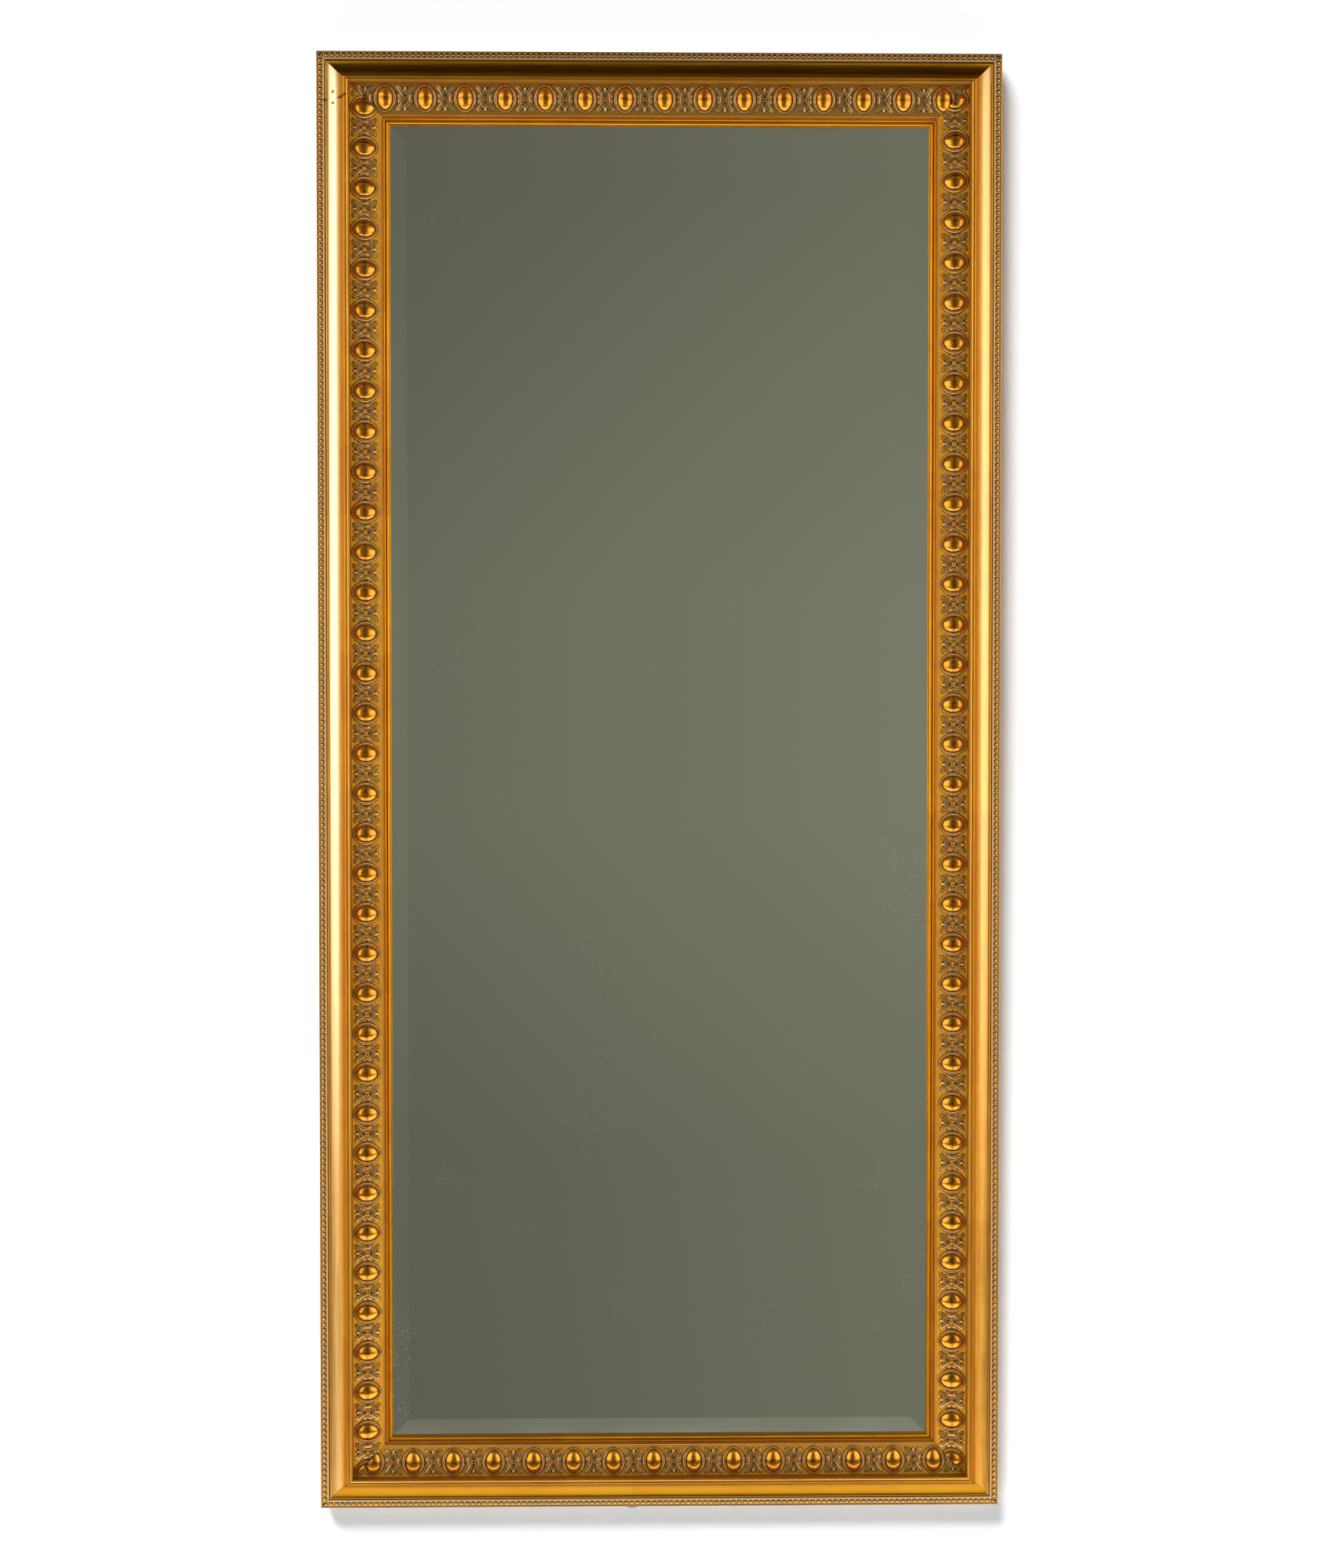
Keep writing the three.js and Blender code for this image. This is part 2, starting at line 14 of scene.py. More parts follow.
import bmesh
import bpy
from mathutils import Euler, Matrix, Vector
from mathutils.bvhtree import BVHTree


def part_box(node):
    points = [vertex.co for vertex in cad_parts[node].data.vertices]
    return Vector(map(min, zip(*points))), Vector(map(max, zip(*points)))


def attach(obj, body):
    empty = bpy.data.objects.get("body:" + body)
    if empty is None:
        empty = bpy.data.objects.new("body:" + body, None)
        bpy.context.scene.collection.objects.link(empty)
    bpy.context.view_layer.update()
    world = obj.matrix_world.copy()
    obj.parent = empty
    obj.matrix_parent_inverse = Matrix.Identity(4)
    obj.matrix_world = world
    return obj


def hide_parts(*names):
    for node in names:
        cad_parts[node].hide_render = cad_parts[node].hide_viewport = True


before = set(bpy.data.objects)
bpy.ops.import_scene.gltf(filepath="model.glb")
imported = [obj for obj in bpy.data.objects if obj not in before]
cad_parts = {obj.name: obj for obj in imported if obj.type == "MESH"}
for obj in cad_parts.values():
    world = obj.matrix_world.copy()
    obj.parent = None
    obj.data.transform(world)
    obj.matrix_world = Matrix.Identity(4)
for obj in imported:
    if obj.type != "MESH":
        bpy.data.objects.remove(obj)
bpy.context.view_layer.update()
LOG = logging.getLogger("pier_mirror")

Point = tuple[float, float]
Triple = tuple[float, float, float]
BMesh = bmesh.types.BMesh
BMVert = bmesh.types.BMVert
Material = bpy.types.Material
Socket = bpy.types.NodeSocket
MM = 0.001
QUARTER = math.pi / 2


# ---------------------------------------------------------------- sizes of the frame


@dataclass(frozen=True)
class Across:
    """Where the moulding's members begin, across a side from its outer edge."""

    bead_seat: float = 1.7
    flat_fillet: float = 7.5
    quirk: float = 9.7
    astragal: float = 10.7
    cove: float = 13.0
    ridge: float = 33.7
    ridge_hollow: float = 35.2
    inner_fillet: float = 37.0
    ornament: float = 39.6
    egg: float = 56.15
    sight_fillet: float = 74.2
    sight_hollow: float = 75.6
    rebate: float = 75.9
    sight_astragal: float = 77.8
    sight_quirk: float = 79.8
    sight_bead: float = 80.7
    sight: float = 84.4


@dataclass(frozen=True)
class Level:
    """How high the moulding's members lie above the back plane."""

    edge: float = 19.2
    bead_seat: float = 18.0
    flat_fillet: float = 20.3
    quirk: float = 18.5
    astragal: float = 19.9
    ridge: float = 43.8
    ridge_fillet: float = 44.7
    ridge_hollow: float = 44.0
    inner_fillet: float = 46.3
    seat_outer: float = 27.9
    seat_inner: float = 21.9
    sight_fillet: float = 24.44
    sight_hollow: float = 20.24
    sight: float = 18.44
    lip: float = 14.44


@dataclass(frozen=True)
class Outer:
    """The frame over all, the level of its middle below the origin, and the room between its solids."""

    half_width: float = 400.0
    half_height: float = 853.5
    middle: float = -815.55
    mitre_gap: float = 0.2
    fit_gap: float = 0.3


ACROSS = Across()
LEVEL = Level()
OUTER = Outer()


def at(x: float, y: float, z: float) -> Matrix:
    """The move that brings the origin to a place."""
    return Matrix.Translation((x, y, z))


def scaled(x: float, y: float, z: float) -> Matrix:
    """The stretch along the three axes."""
    return Matrix.Diagonal((x, y, z, 1))


def turn(angle: float, axis: str) -> Matrix:
    """The turn by an angle in radians about an axis."""
    return Matrix.Rotation(angle, 4, axis)


def held(value: float) -> float:
    """A number kept from 0 to 1."""
    return max(0.0, min(1.0, value))


class Side(Enum):
    """The four sides of the frame: the solid that a side's moulding stands for, and the side's turn."""

    LEFT = ("left_stile", 0.0)
    RIGHT = ("right_stile", math.pi)
    TOP = ("top_rail", QUARTER)
    BOTTOM = ("bottom_rail", -QUARTER)

    @property
    def key(self) -> str:
        """The side's short name."""
        return self.name.lower()

    @property
    def upright(self) -> bool:
        """Whether the side is a stile."""
        return self in (Side.LEFT, Side.RIGHT)

    @property
    def half(self) -> float:
        """Half of the side's outer length."""
        return OUTER.half_height if self.upright else OUTER.half_width

    @property
    def place(self) -> Matrix:
        """The matrix that brings the side from lying flat to its place, still in millimetres."""
        reach = OUTER.half_width if self.upright else OUTER.half_height
        return at(0, 0, OUTER.middle) @ turn(self.value[1], "Y") @ at(-reach, 0, 0) @ turn(QUARTER, "X")

    @property
    def shift(self) -> float:
        """How far the side's patterns are shifted, so that no two sides look alike."""
        return 3000.0 * list(Side).index(self)

    def drop(self, along: float) -> float:
        """How far down the mirror a place along a stile lies, from 0 to 1; 0 on a rail."""
        way = {Side.LEFT: -along, Side.RIGHT: along}.get(self, -self.half)
        return 0.5 + way / (2 * self.half)


# ---------------------------------------------------------------- mesh helpers


def arc(centre: Point, radii: Point, start: float, end: float, steps: int) -> list[Point]:
    """Points on an elliptical arc.

    Args:
        centre: the ellipse's centre.
        radii: its half width and half height.
        start: the first angle in degrees, from straight down towards +x.
        end: the last angle in degrees.
        steps: how many chords the arc has.

    Returns:
        The points, steps + 1 of them.
    """
    angles = [math.radians(start + (end - start) * i / steps) for i in range(steps + 1)]
    return [(centre[0] + radii[0] * math.sin(a), centre[1] - radii[1] * math.cos(a)) for a in angles]


def round_top(left: float, right: float, level: float, rise: float, steps: int) -> list[Point]:
    """A rounded top between two places, from its right foot over to its left foot."""
    return arc(((left + right) / 2, level), ((right - left) / 2, rise), 90, 270, steps)


def everything(bm: BMesh) -> list:
    """All the vertices, edges and faces of a mesh."""
    return bm.verts[:] + bm.edges[:] + bm.faces[:]


def only(kind: type, made: Iterable) -> list:
    """What is of one kind among what an operator made."""
    return [g for g in made if isinstance(g, kind)]


def turn_out(bm: BMesh) -> None:
    """Makes all the faces point outwards."""
    bmesh.ops.recalc_face_normals(bm, faces=bm.faces[:])


def fill_holes(bm: BMesh, edges: Sequence[bmesh.types.BMEdge] = ()) -> None:
    """Closes the holes that some edges bound, or else every hole."""
    bmesh.ops.holes_fill(bm, edges=edges or [e for e in bm.edges if e.is_boundary], sides=0)


def wire(bm: BMesh, points: Sequence[tuple], closed: bool) -> list[bmesh.types.BMEdge]:
    """Joins points into a chain.

    Args:
        bm: the mesh that gets the chain.
        points: the points in order.
        closed: whether the last point joins the first.

    Returns:
        The chain's edges.
    """
    verts = [bm.verts.new(p) for p in points]
    return [bm.edges.new(pair) for pair in zip(verts, verts[1:] + (verts[:1] if closed else []))]


def bevel(bm: BMesh, edges: Sequence[bmesh.types.BMEdge], width: float, segments: int, clamp: bool = False) -> None:
    """Rounds some edges.

    Args:
        bm: the mesh.
        edges: the edges.
        width: how wide each becomes.
        segments: how many faces the rounding has.
        clamp: whether it stops where two edges would meet.
    """
    style = {"offset_type": "OFFSET", "affect": "EDGES", "profile": 0.5, "material": -1}
    bmesh.ops.bevel(bm, geom=edges, offset=width, segments=segments, clamp_overlap=clamp, **style)


def soften(bm: BMesh, width: float, angle: float = 30, segments: int = 2) -> None:
    """Rounds the edges that are sharper than an angle in degrees."""
    sharp = [e for e in bm.edges if len(e.link_faces) == 2 and e.calc_face_angle() > math.radians(angle)]
    bevel(bm, sharp, width, segments, clamp=True)


def cut_mitres(bm: BMesh, half: float) -> None:
    """Cuts both ends of a side at 45 degrees and closes them.

    Args:
        bm: the side, lying flat.
        half: half of its outer length.
    """
    for end in (1, -1):
        place, way = (0, end * (half - OUTER.mitre_gap), 0), (1, end, 0)
        made = bmesh.ops.bisect_plane(
            bm, geom=everything(bm), dist=1e-4, plane_co=place, plane_no=way, clear_outer=True
        )["geom_cut"]
        fill_holes(bm, only(bmesh.types.BMEdge, made))


def long_run(section: Sequence[Point], half: float, rounding: float = 0.0, steps: int = 1) -> BMesh:
    """A section run along a side and mitred at both ends.

    Args:
        section: the section's corners, across and up.
        half: half of the side's outer length.
        rounding: how far its sharp edges are rounded.
        steps: how many lengths it is made of.

    Returns:
        The run, lying flat.
    """
    bm = bmesh.new()
    edges = wire(bm, [(u, -half, h) for u, h in section], closed=True)
    made = bmesh.ops.extrude_edge_only(bm, edges=edges)["geom"]
    bmesh.ops.translate(bm, verts=only(BMVert, made), vec=(0, 2 * half, 0))
    if steps > 1:
        along = [e for e in bm.edges if abs(e.verts[0].co.y - e.verts[1].co.y) > half]
        bmesh.ops.subdivide_edges(bm, edges=along, cuts=steps - 1)
    if rounding:
        soften(bm, rounding)
    cut_mitres(bm, half)
    return bm


def turned(profile: Sequence[Point], steps: int) -> BMesh:
    """A closed shape turned about z.

    Args:
        profile: its points as radius and height, with the first and the last on the axis.
        steps: how many sides it has.

    Returns:
        The turned shape.
    """
    bm = bmesh.new()
    edges = wire(bm, [(r, 0, z) for r, z in profile], closed=False)
    geom = bm.verts[:] + edges
    bmesh.ops.spin(bm, geom=geom, axis=(0, 0, 1), cent=(0, 0, 0), angle=math.tau, steps=steps, use_merge=True)
    bmesh.ops.remove_doubles(bm, verts=bm.verts[:], dist=1e-4)
    return bm


def raised(points: Sequence[tuple], rise: Triple) -> BMesh:
    """A flat outline raised to a solid.

    Args:
        points: the outline.
        rise: how far, and which way.

    Returns:
        The solid.
    """
    bm = bmesh.new()
    face = bm.faces.new([bm.verts.new(p) for p in points])
    made = bmesh.ops.extrude_face_region(bm, geom=[face], use_keep_orig=True)["geom"]
    bmesh.ops.translate(bm, verts=only(BMVert, made), vec=rise)
    return bm


def ball(segments: int, rings: int, radius: float = 1.0) -> BMesh:
    """A ball of a few faces.

    Args:
        segments: how many sides it has.
        rings: how many rings of faces it has.
        radius: its radius.

    Returns:
        The mesh.
    """
    bm = bmesh.new()
    bmesh.ops.create_uvsphere(bm, u_segments=segments, v_segments=rings, radius=radius)
    return bm


def mark(bm: BMesh, verts: Iterable[BMVert], **marks: float) -> None:
    """Sets numbers on some vertices, by the names of their layers.

    Args:
        bm: the mesh, which gets the layers that it lacks.
        verts: the vertices.
        marks: the numbers.
    """
    layers = bm.verts.layers.float
    for name, value in marks.items():
        layer = layers.get(name) or layers.new(name)
        for vert in verts:
            vert[layer] = value


def shape_of(bm: BMesh, name: str = "shape") -> bpy.types.Mesh:
    """A mesh block from a shape that is used up.

    Args:
        bm: the mesh.
        name: its name.

    Returns:
        The finished mesh.
    """
    mesh = bpy.data.meshes.new(name)
    bm.to_mesh(mesh)
    bm.free()
    return mesh


def stamp(bm: BMesh, shape: bpy.types.Mesh, place: Matrix, **marks: float) -> None:
    """Adds a copy of a shape to a mesh.

    Args:
        bm: the mesh that grows.
        shape: the shape.
        place: where the copy goes.
        marks: numbers for layers of the copy's vertices, by the layer's name.
    """
    before = len(bm.verts)
    copy = shape.copy()
    copy.transform(place)
    bm.from_mesh(copy)
    bpy.data.meshes.remove(copy)
    mark(bm, (), **marks)
    bm.verts.ensure_lookup_table()
    mark(bm, bm.verts[before:], **marks)


def add(bm: BMesh, other: BMesh, place: Matrix, **marks: float) -> None:
    """Adds one shape to another, once, and uses it up.

    Args:
        bm: the mesh.
        other: the other mesh. It is used up.
        place: where it goes.
        marks: the marks for all the vertices of the part.
    """
    shape = shape_of(other)
    stamp(bm, shape, place, **marks)
    bpy.data.meshes.remove(shape)


def mark_occlusion_shade(bm: BMesh, tree: BVHTree, verts: Iterable[BMVert], offset: Triple = (0, 0, 0)) -> None:
    """Marks on a layer named hollow how far vertices are hemmed in by what stands round them, for painted shade.

    Args:
        bm: the mesh. It has the layer already.
        tree: all that stands round the vertices.
        verts: the vertices to mark.
        offset: how far the mesh lies from its place among the tree's shapes.
    """
    reach = 3.2
    bm.normal_update()
    layer = bm.verts.layers.float["hollow"]
    tilts = ((62, 0), (34, 45))
    spread = [(math.radians(t), math.radians(a + first)) for t, first in tilts for a in range(0, 360, 90)]
    rays = [Vector((math.sin(t) * math.cos(a), math.sin(t) * math.sin(a), math.cos(t))) for t, a in spread]
    for vert in verts:
        start = vert.co + Vector(offset) + vert.normal * 0.12
        facing_out = vert.normal.to_track_quat("Z", "Y")
        hits = [tree.ray_cast(start, facing_out @ ray, reach)[3] for ray in rays]
        vert[layer] = sum(1.0 - 0.6 * far / reach for far in hits if far is not None) / len(rays)


def put_in_scene(name: str, data: bpy.types.ID) -> bpy.types.Object:
    """A new object of the scene.

    Args:
        name: its name.
        data: what the object holds.

    Returns:
        The object.
    """
    made = bpy.data.objects.new(name, data)
    bpy.context.scene.collection.objects.link(made)
    return made


def show(
    bm: BMesh,
    name: str,
    slot: str,
    solid: str,
    place: Matrix,
    *finishes: Material,
    body: str = "frame",
    shift: float = 0.0,
    crease: float = 38.0,
) -> None:
    """Makes a finished mesh a piece of the mirror.

    Args:
        bm: the mesh in millimetres. It is used up.
        name: the piece's name.
        slot: not used.
        solid: the solid that it takes the place of.
        place: where it goes, in millimetres.
        finishes: its materials, the first one for most of it.
        body: the body that it moves with.
        shift: how far its patterns are shifted along it.
        crease: the least angle in degrees at which an edge stays sharp.
    """
    turn_out(bm)
    run = bm.verts.layers.float_vector.new("run")
    for vert in bm.verts:
        vert[run] = vert.co + Vector((0, shift, 0))
    bm.transform(Matrix.Scale(MM, 4) @ place)
    mesh = shape_of(bm, name)
    mesh.shade_smooth()
    mesh.set_sharp_from_angle(angle=math.radians(crease))
    for finish in finishes:
        mesh.materials.append(finish)
    piece = put_in_scene(name, mesh)
    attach(piece, body)
    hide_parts(solid)
    LOG.info("%s: %d faces", name, len(mesh.polygons))


# ---------------------------------------------------------------- finishes


class Bench:
    """The nodes of one material, laid out by short calls."""

    def __init__(self, name: str) -> None:
        """Starts an empty material with a name.

        Args:
            name: its name.
        """
        self.material = bpy.data.materials.new(name)
        self.material.use_nodes = True
        self.tree = self.material.node_tree
        self.tree.nodes.clear()

    def put(self, socket: Socket, value: object) -> None:
        """Links an output to an input, or sets the input to a plain value.

        Args:
            socket: the input.
            value: an output socket, a number, or a colour or vector of three numbers.
        """
        if isinstance(value, Socket):
            self.tree.links.new(value, socket)
        else:
            colour = isinstance(value, tuple) and socket.type == "RGBA"
            socket.default_value = (*value, 1.0) if colour else value

    def node(self, kind: str, *inputs: object, **settings: object) -> Sequence[Socket]:
        """Adds a node.

        Args:
            kind: its kind.
            inputs: what goes into its first inputs.
            settings: its properties, and with a capital letter its other inputs, with underscores for spaces.

        Returns:
            Its outputs.
        """
        made = self.tree.nodes.new("ShaderNode" + kind)
        for name, value in settings.items():
            if name[0].isupper():
                self.put(made.inputs[name.replace("_", " ")], value)
            else:
                setattr(made, name, value)
        for socket, value in zip(made.inputs, inputs):
            self.put(socket, value)
        return made.outputs

    def run(self) -> Socket:
        """The place on the piece as it was modelled lying flat, in millimetres."""
        return self.node("Attribute", attribute_name="run")["Vector"]

    def mark(self, name: str) -> Socket:
        """A layer of numbers on the piece's vertices."""
        return self.node("Attribute", attribute_name=name)["Fac"]

    def place(self) -> Socket:
        """The place on a piece that isn't laid flat, in metres."""
        return self.node("TexCoord")["Object"]

    def split(self, vector: Socket) -> Sequence[Socket]:
        """The three parts of a vector."""
        return self.node("SeparateXYZ", vector)

    def stretch(self, vector: Socket, by: Triple) -> Socket:
        """A vector with each part multiplied."""
        return self.node("VectorMath", vector, by, operation="MULTIPLY")[0]

    def noise(self, vector: Socket, scale: float, detail: float = 3.0, rough: float = 0.55) -> Socket:
        """Soft noise from 0 to 1."""
        return self.node("TexNoise", Vector=vector, Scale=scale, Detail=detail, Roughness=rough)["Fac"]

    def cells(self, vector: Socket, scale: float) -> Socket:
        """How far a place lies from the middle of its cell, in a pattern of cells."""
        return self.node("TexVoronoi", Vector=vector, Scale=scale)["Distance"]

    def maths(self, operation: str, *parts: object) -> Socket:
        """Numbers put together by one operation, from the first on."""
        made = parts[0]
        for part in parts[1:] or (0.0,):
            made = self.node("Math", made, part, operation=operation)[0]
        return made

    def times(self, *parts: object) -> Socket:
        """The product of some numbers."""
        return self.maths("MULTIPLY", *parts)

    def plus(self, *parts: object) -> Socket:
        """The sum of some numbers."""
        return self.maths("ADD", *parts)

    def most(self, *parts: object) -> Socket:
        """The largest of some numbers."""
        return self.maths("MAXIMUM", *parts)

    def span(self, value: Socket, low: float, high: float, to_low: float = 0.0, to_high: float = 1.0) -> Socket:
        """A number taken smoothly from one range to another, and held there."""
        return self.node("MapRange", value, low, high, to_low, to_high, interpolation_type="SMOOTHSTEP")[0]

    def ramp(self, value: Socket, stops: Sequence[tuple[float, Triple]]) -> Socket:
        """Colours along a number from 0 to 1.

        Args:
            value: the number.
            stops: the places and colours in order.

        Returns:
            The colour.
        """
        made = self.tree.nodes.new("ShaderNodeValToRGB")
        elements = made.color_ramp.elements
        while len(elements) < len(stops):
            elements.new(1.0)
        for element, (position, colour) in zip(elements, stops):
            element.position, element.color = position, (*colour, 1.0)
        self.put(made.inputs[0], value)
        return made.outputs[0]

    def blend(self, share: object, a: object, b: object, mode: str = "MIX") -> Socket:
        """Two colours blended by a share from 0 to 1.

        Args:
            share: how much of the second there is.
            a: the first value.
            b: the second value.
            mode: how they are blended.

        Returns:
            The result's socket.
        """
        made = self.tree.nodes.new("ShaderNodeMix")
        made.data_type, made.blend_type = "RGBA", mode
        for place, value in ((0, share), (6, a), (7, b)):
            self.put(made.inputs[place], value)
        return made.outputs[2]

    def bump(self, height: Socket, strength: float, depth: float) -> Socket:
        """A surface pattern from a height, of a strength and a depth in millimetres."""
        return self.node("Bump", Strength=strength, Distance=depth * MM, Height=height)["Normal"]

    def end(self, shader: Socket) -> Material:
        """Ends the material with its shader."""
        self.node("OutputMaterial", shader)
        return self.material

    def surface(self, **values: object) -> Material:
        """Ends the material with a surface whose inputs have these values."""
        return self.end(self.node("BsdfPrincipled", **values)[0])


@dataclass(frozen=True)
class Gilding:
    """Metal leaf over red bole, toned with shellac and a pale antique wash, with painted shade in the hollows and on
    the darker sides.
    """

    leaf: Triple = (0.93, 0.42, 0.01)
    toned: Triple = (0.74, 0.26, 0.003)
    bole: Triple = (0.26, 0.06, 0.015)
    # dirt_and_shade: near black, for real specks and nicks and for painted shade in grooves and hollows.
    dirt_and_shade: Triple = (0.035, 0.016, 0.004)
    pale: Triple = (0.66, 0.50, 0.30)
    # side_shade_colour: the dark brown that painted shade blends in over a whole side.
    side_shade_colour: Triple = (0.22, 0.10, 0.004)
    roughness: float = 0.33
    brushed: Triple = (1.5, 0.012, 1.5)
    mottled: Triple = (0.12, 0.03, 0.12)
    leaf_width: float = 80.0
    waver: float = 14.0

    def toned_leaf(self, b: Bench, run: Socket) -> tuple[Socket, Socket, Socket]:
        """The leaf's colour, laid in lengths that differ a little, with painted shade blended in on the darker sides.

        Args:
            b: the material's nodes.
            run: the place on the piece.

        Returns:
            The colour, its streaks and its fine grain.
        """
        streaks = b.noise(b.stretch(run, self.brushed), 1.0, 4.0, 0.6)
        mottle = b.noise(b.stretch(run, self.mottled), 1.0)
        grain = b.noise(run, 0.9, 4.0, 0.65)
        along = b.plus(b.split(run)[1], b.times(b.noise(run, 0.06, 2.0), self.waver))
        length = b.maths("FLOOR", b.maths("DIVIDE", along, self.leaf_width))
        laid = b.node("TexWhiteNoise", noise_dimensions="1D", W=length)["Value"]
        tone = b.plus(b.times(streaks, 0.5), b.times(mottle, 0.4), b.times(laid, 0.14))
        colour = b.blend(b.span(tone, 0.3, 0.72), self.toned, self.leaf)
        # Painted shade: the side_shade mark darkens a whole side towards side_shade_colour.
        return b.blend(b.mark("side_shade"), colour, self.side_shade_colour), streaks, grain


# DARK is a full share of painted shade.
CLEAN, DARK, STONY = (0.0, 0.0, 0.0), (1.0, 0.0, 0.0), (0.0, 0.85, 0.1)
WASH_AND_SHADE = (
    (0.0, (0.1, 0.35, 0.35)),
    (1.7, (0.3, 0.3, 0.4)),
    *((2.2, DARK), (7.2, DARK), (7.6, STONY), (9.6, STONY), (9.9, DARK), (10.5, DARK)),
    (11.1, (0.05, 0.0, 0.3)),
    (12.6, (0.0, 0.0, 0.15)),
    (13.2, (0.12, 0.0, 0.1)),
    *((14.2, CLEAN), (26.8, CLEAN)),
    (28.6, (0.3, 0.0, 0.35)),
    (32.6, (0.35, 0.0, 0.35)),
    (33.9, CLEAN),
    (35.2, (0.05, 0.0, 0.2)),
    (35.8, (0.4, 0.3, 0.45)),
    (36.8, (0.4, 0.3, 0.45)),
    (37.3, (0.0, 0.15, 0.1)),
    (39.2, (0.0, 0.1, 0.15)),
    *((40.0, DARK), (73.8, DARK)),
    (74.4, (0.05, 0.6, 0.1)),
    (75.4, (0.1, 0.4, 0.2)),
    (75.9, (0.05, 0.05, 0.4)),
    (77.6, (0.05, 0.0, 0.25)),
    (79.5, (0.05, 0.0, 0.1)),
    (79.95, (0.45, 0.0, 0.3)),
    (80.6, (0.45, 0.0, 0.3)),
    (81.1, CLEAN),
    (84.4, (0.05, 0.0, 0.1)),
)
# Places across the moulding, with the shares there of painted shade in the quirks, grooves and upper cove, of pale
# wash and of bare bole.
"""Places across the moulding, with the shares there of grime, pale wash and bare bole."""


@dataclass(frozen=True)
class MouldingGilding(Gilding):
    """The gilding of the plain mouldings, with its wash and painted shade by the member that it lies on, and a painted
    highlight along the cove.
    """

    # highlight_colour: the pale cream of a painted highlight; highlight_band: where across the moulding it lies.
    highlight_colour: Triple = (1.0, 0.77, 0.43)
    highlight_band: tuple = ((12.2, 0.0), (13.6, 1.0), (23.6, 1.0), (27.6, 0.0))
    nicks: tuple = ((19.5, 806.0, 2.4, 2.6), (31.0, 798.5, 7.5, 2.4), (19.5, 793.0, 2.2, 2.0), (10.5, 796.5, 3.2, 1.8))

    def nick(self, b: Bench, run: Socket, spot: Point, half: Point) -> Socket:
        """One dark nick on the left stile.

        Args:
            b: the material's nodes.
            run: the place on the piece.
            spot: the nick's place across and along.
            half: its half width and half length.

        Returns:
            How far the nick covers a place, from 0 to 1.
        """
        moved = b.node("VectorMath", run, (*spot, 0.0), operation="SUBTRACT")[0]
        size = b.node("VectorMath", b.stretch(moved, (1 / half[0], 1 / half[1], 0.0)), operation="LENGTH")["Value"]
        return b.span(b.plus(size, b.times(b.noise(run, 0.8, 3.0, 0.7), 0.9)), 1.0, 1.5, 1.0, 0.0)

    def material(self) -> Material:
        """Makes the material.

        Returns:
            The material.
        """
        b = Bench("gilded_moulding")
        run = b.run()
        colour, streaks, grain = self.toned_leaf(b, run)
        across = b.maths("DIVIDE", b.split(run)[0], ACROSS.sight)
        # The ramp's first share is painted shade in the quirks, the grooves and the upper cove.
        washed = b.ramp(across, [(u / ACROSS.sight, shares) for u, shares in WASH_AND_SHADE])
        dirt_and_shade, pale, red = b.split(washed)
        # Painted highlight: a pale cream band along the cove, as strong as the cove_highlight mark.
        highlight_band = b.ramp(across, [(u / ACROSS.sight, (share,) * 3) for u, share in self.highlight_band])
        colour = b.blend(b.times(highlight_band, b.mark("cove_highlight")), colour, self.highlight_colour)
        colour = b.blend(b.times(red, b.span(streaks, 0.42, 0.66)), colour, self.bole)
        colour = b.blend(b.times(pale, b.span(grain, 0.3, 0.6, 0.5)), colour, self.pale)
        # Painted shade from the ramp's first share, towards dirt_and_shade.
        colour = b.blend(b.times(dirt_and_shade, b.span(grain, 0.2, 0.6, 0.7)), colour, self.dirt_and_shade)
        dots = b.span(b.cells(run, 0.11), 0.035, 0.06, 1.0, 0.0)
        dots = b.most(dots, *(self.nick(b, run, nick[:2], nick[2:]) for nick in self.nicks))
        colour = b.blend(b.times(dots, 0.85), colour, self.dirt_and_shade)
        dull = b.most(b.times(pale, 0.6), b.times(dirt_and_shade, 0.8))
        rough = b.span(streaks, 0.3, 0.7, self.roughness - 0.05, self.roughness + 0.08)
        return b.surface(
            Base_Color=colour,
            Metallic=b.plus(b.times(dull, -0.8), 1.0),
            Roughness=b.plus(rough, b.times(dull, 0.4)),
            Coat_Weight=0.06,
            Coat_Roughness=0.3,
            Coat_IOR=1.6,
            Normal=b.bump(b.plus(b.times(streaks, 0.7), b.times(grain, 0.5)), 0.35, 0.12),
        )


ORNAMENT_MARKS = ("hollow", "wash", "rosy", "tone", "ground", "vein", "crown")
"""The marks that the ornament's vertices carry."""


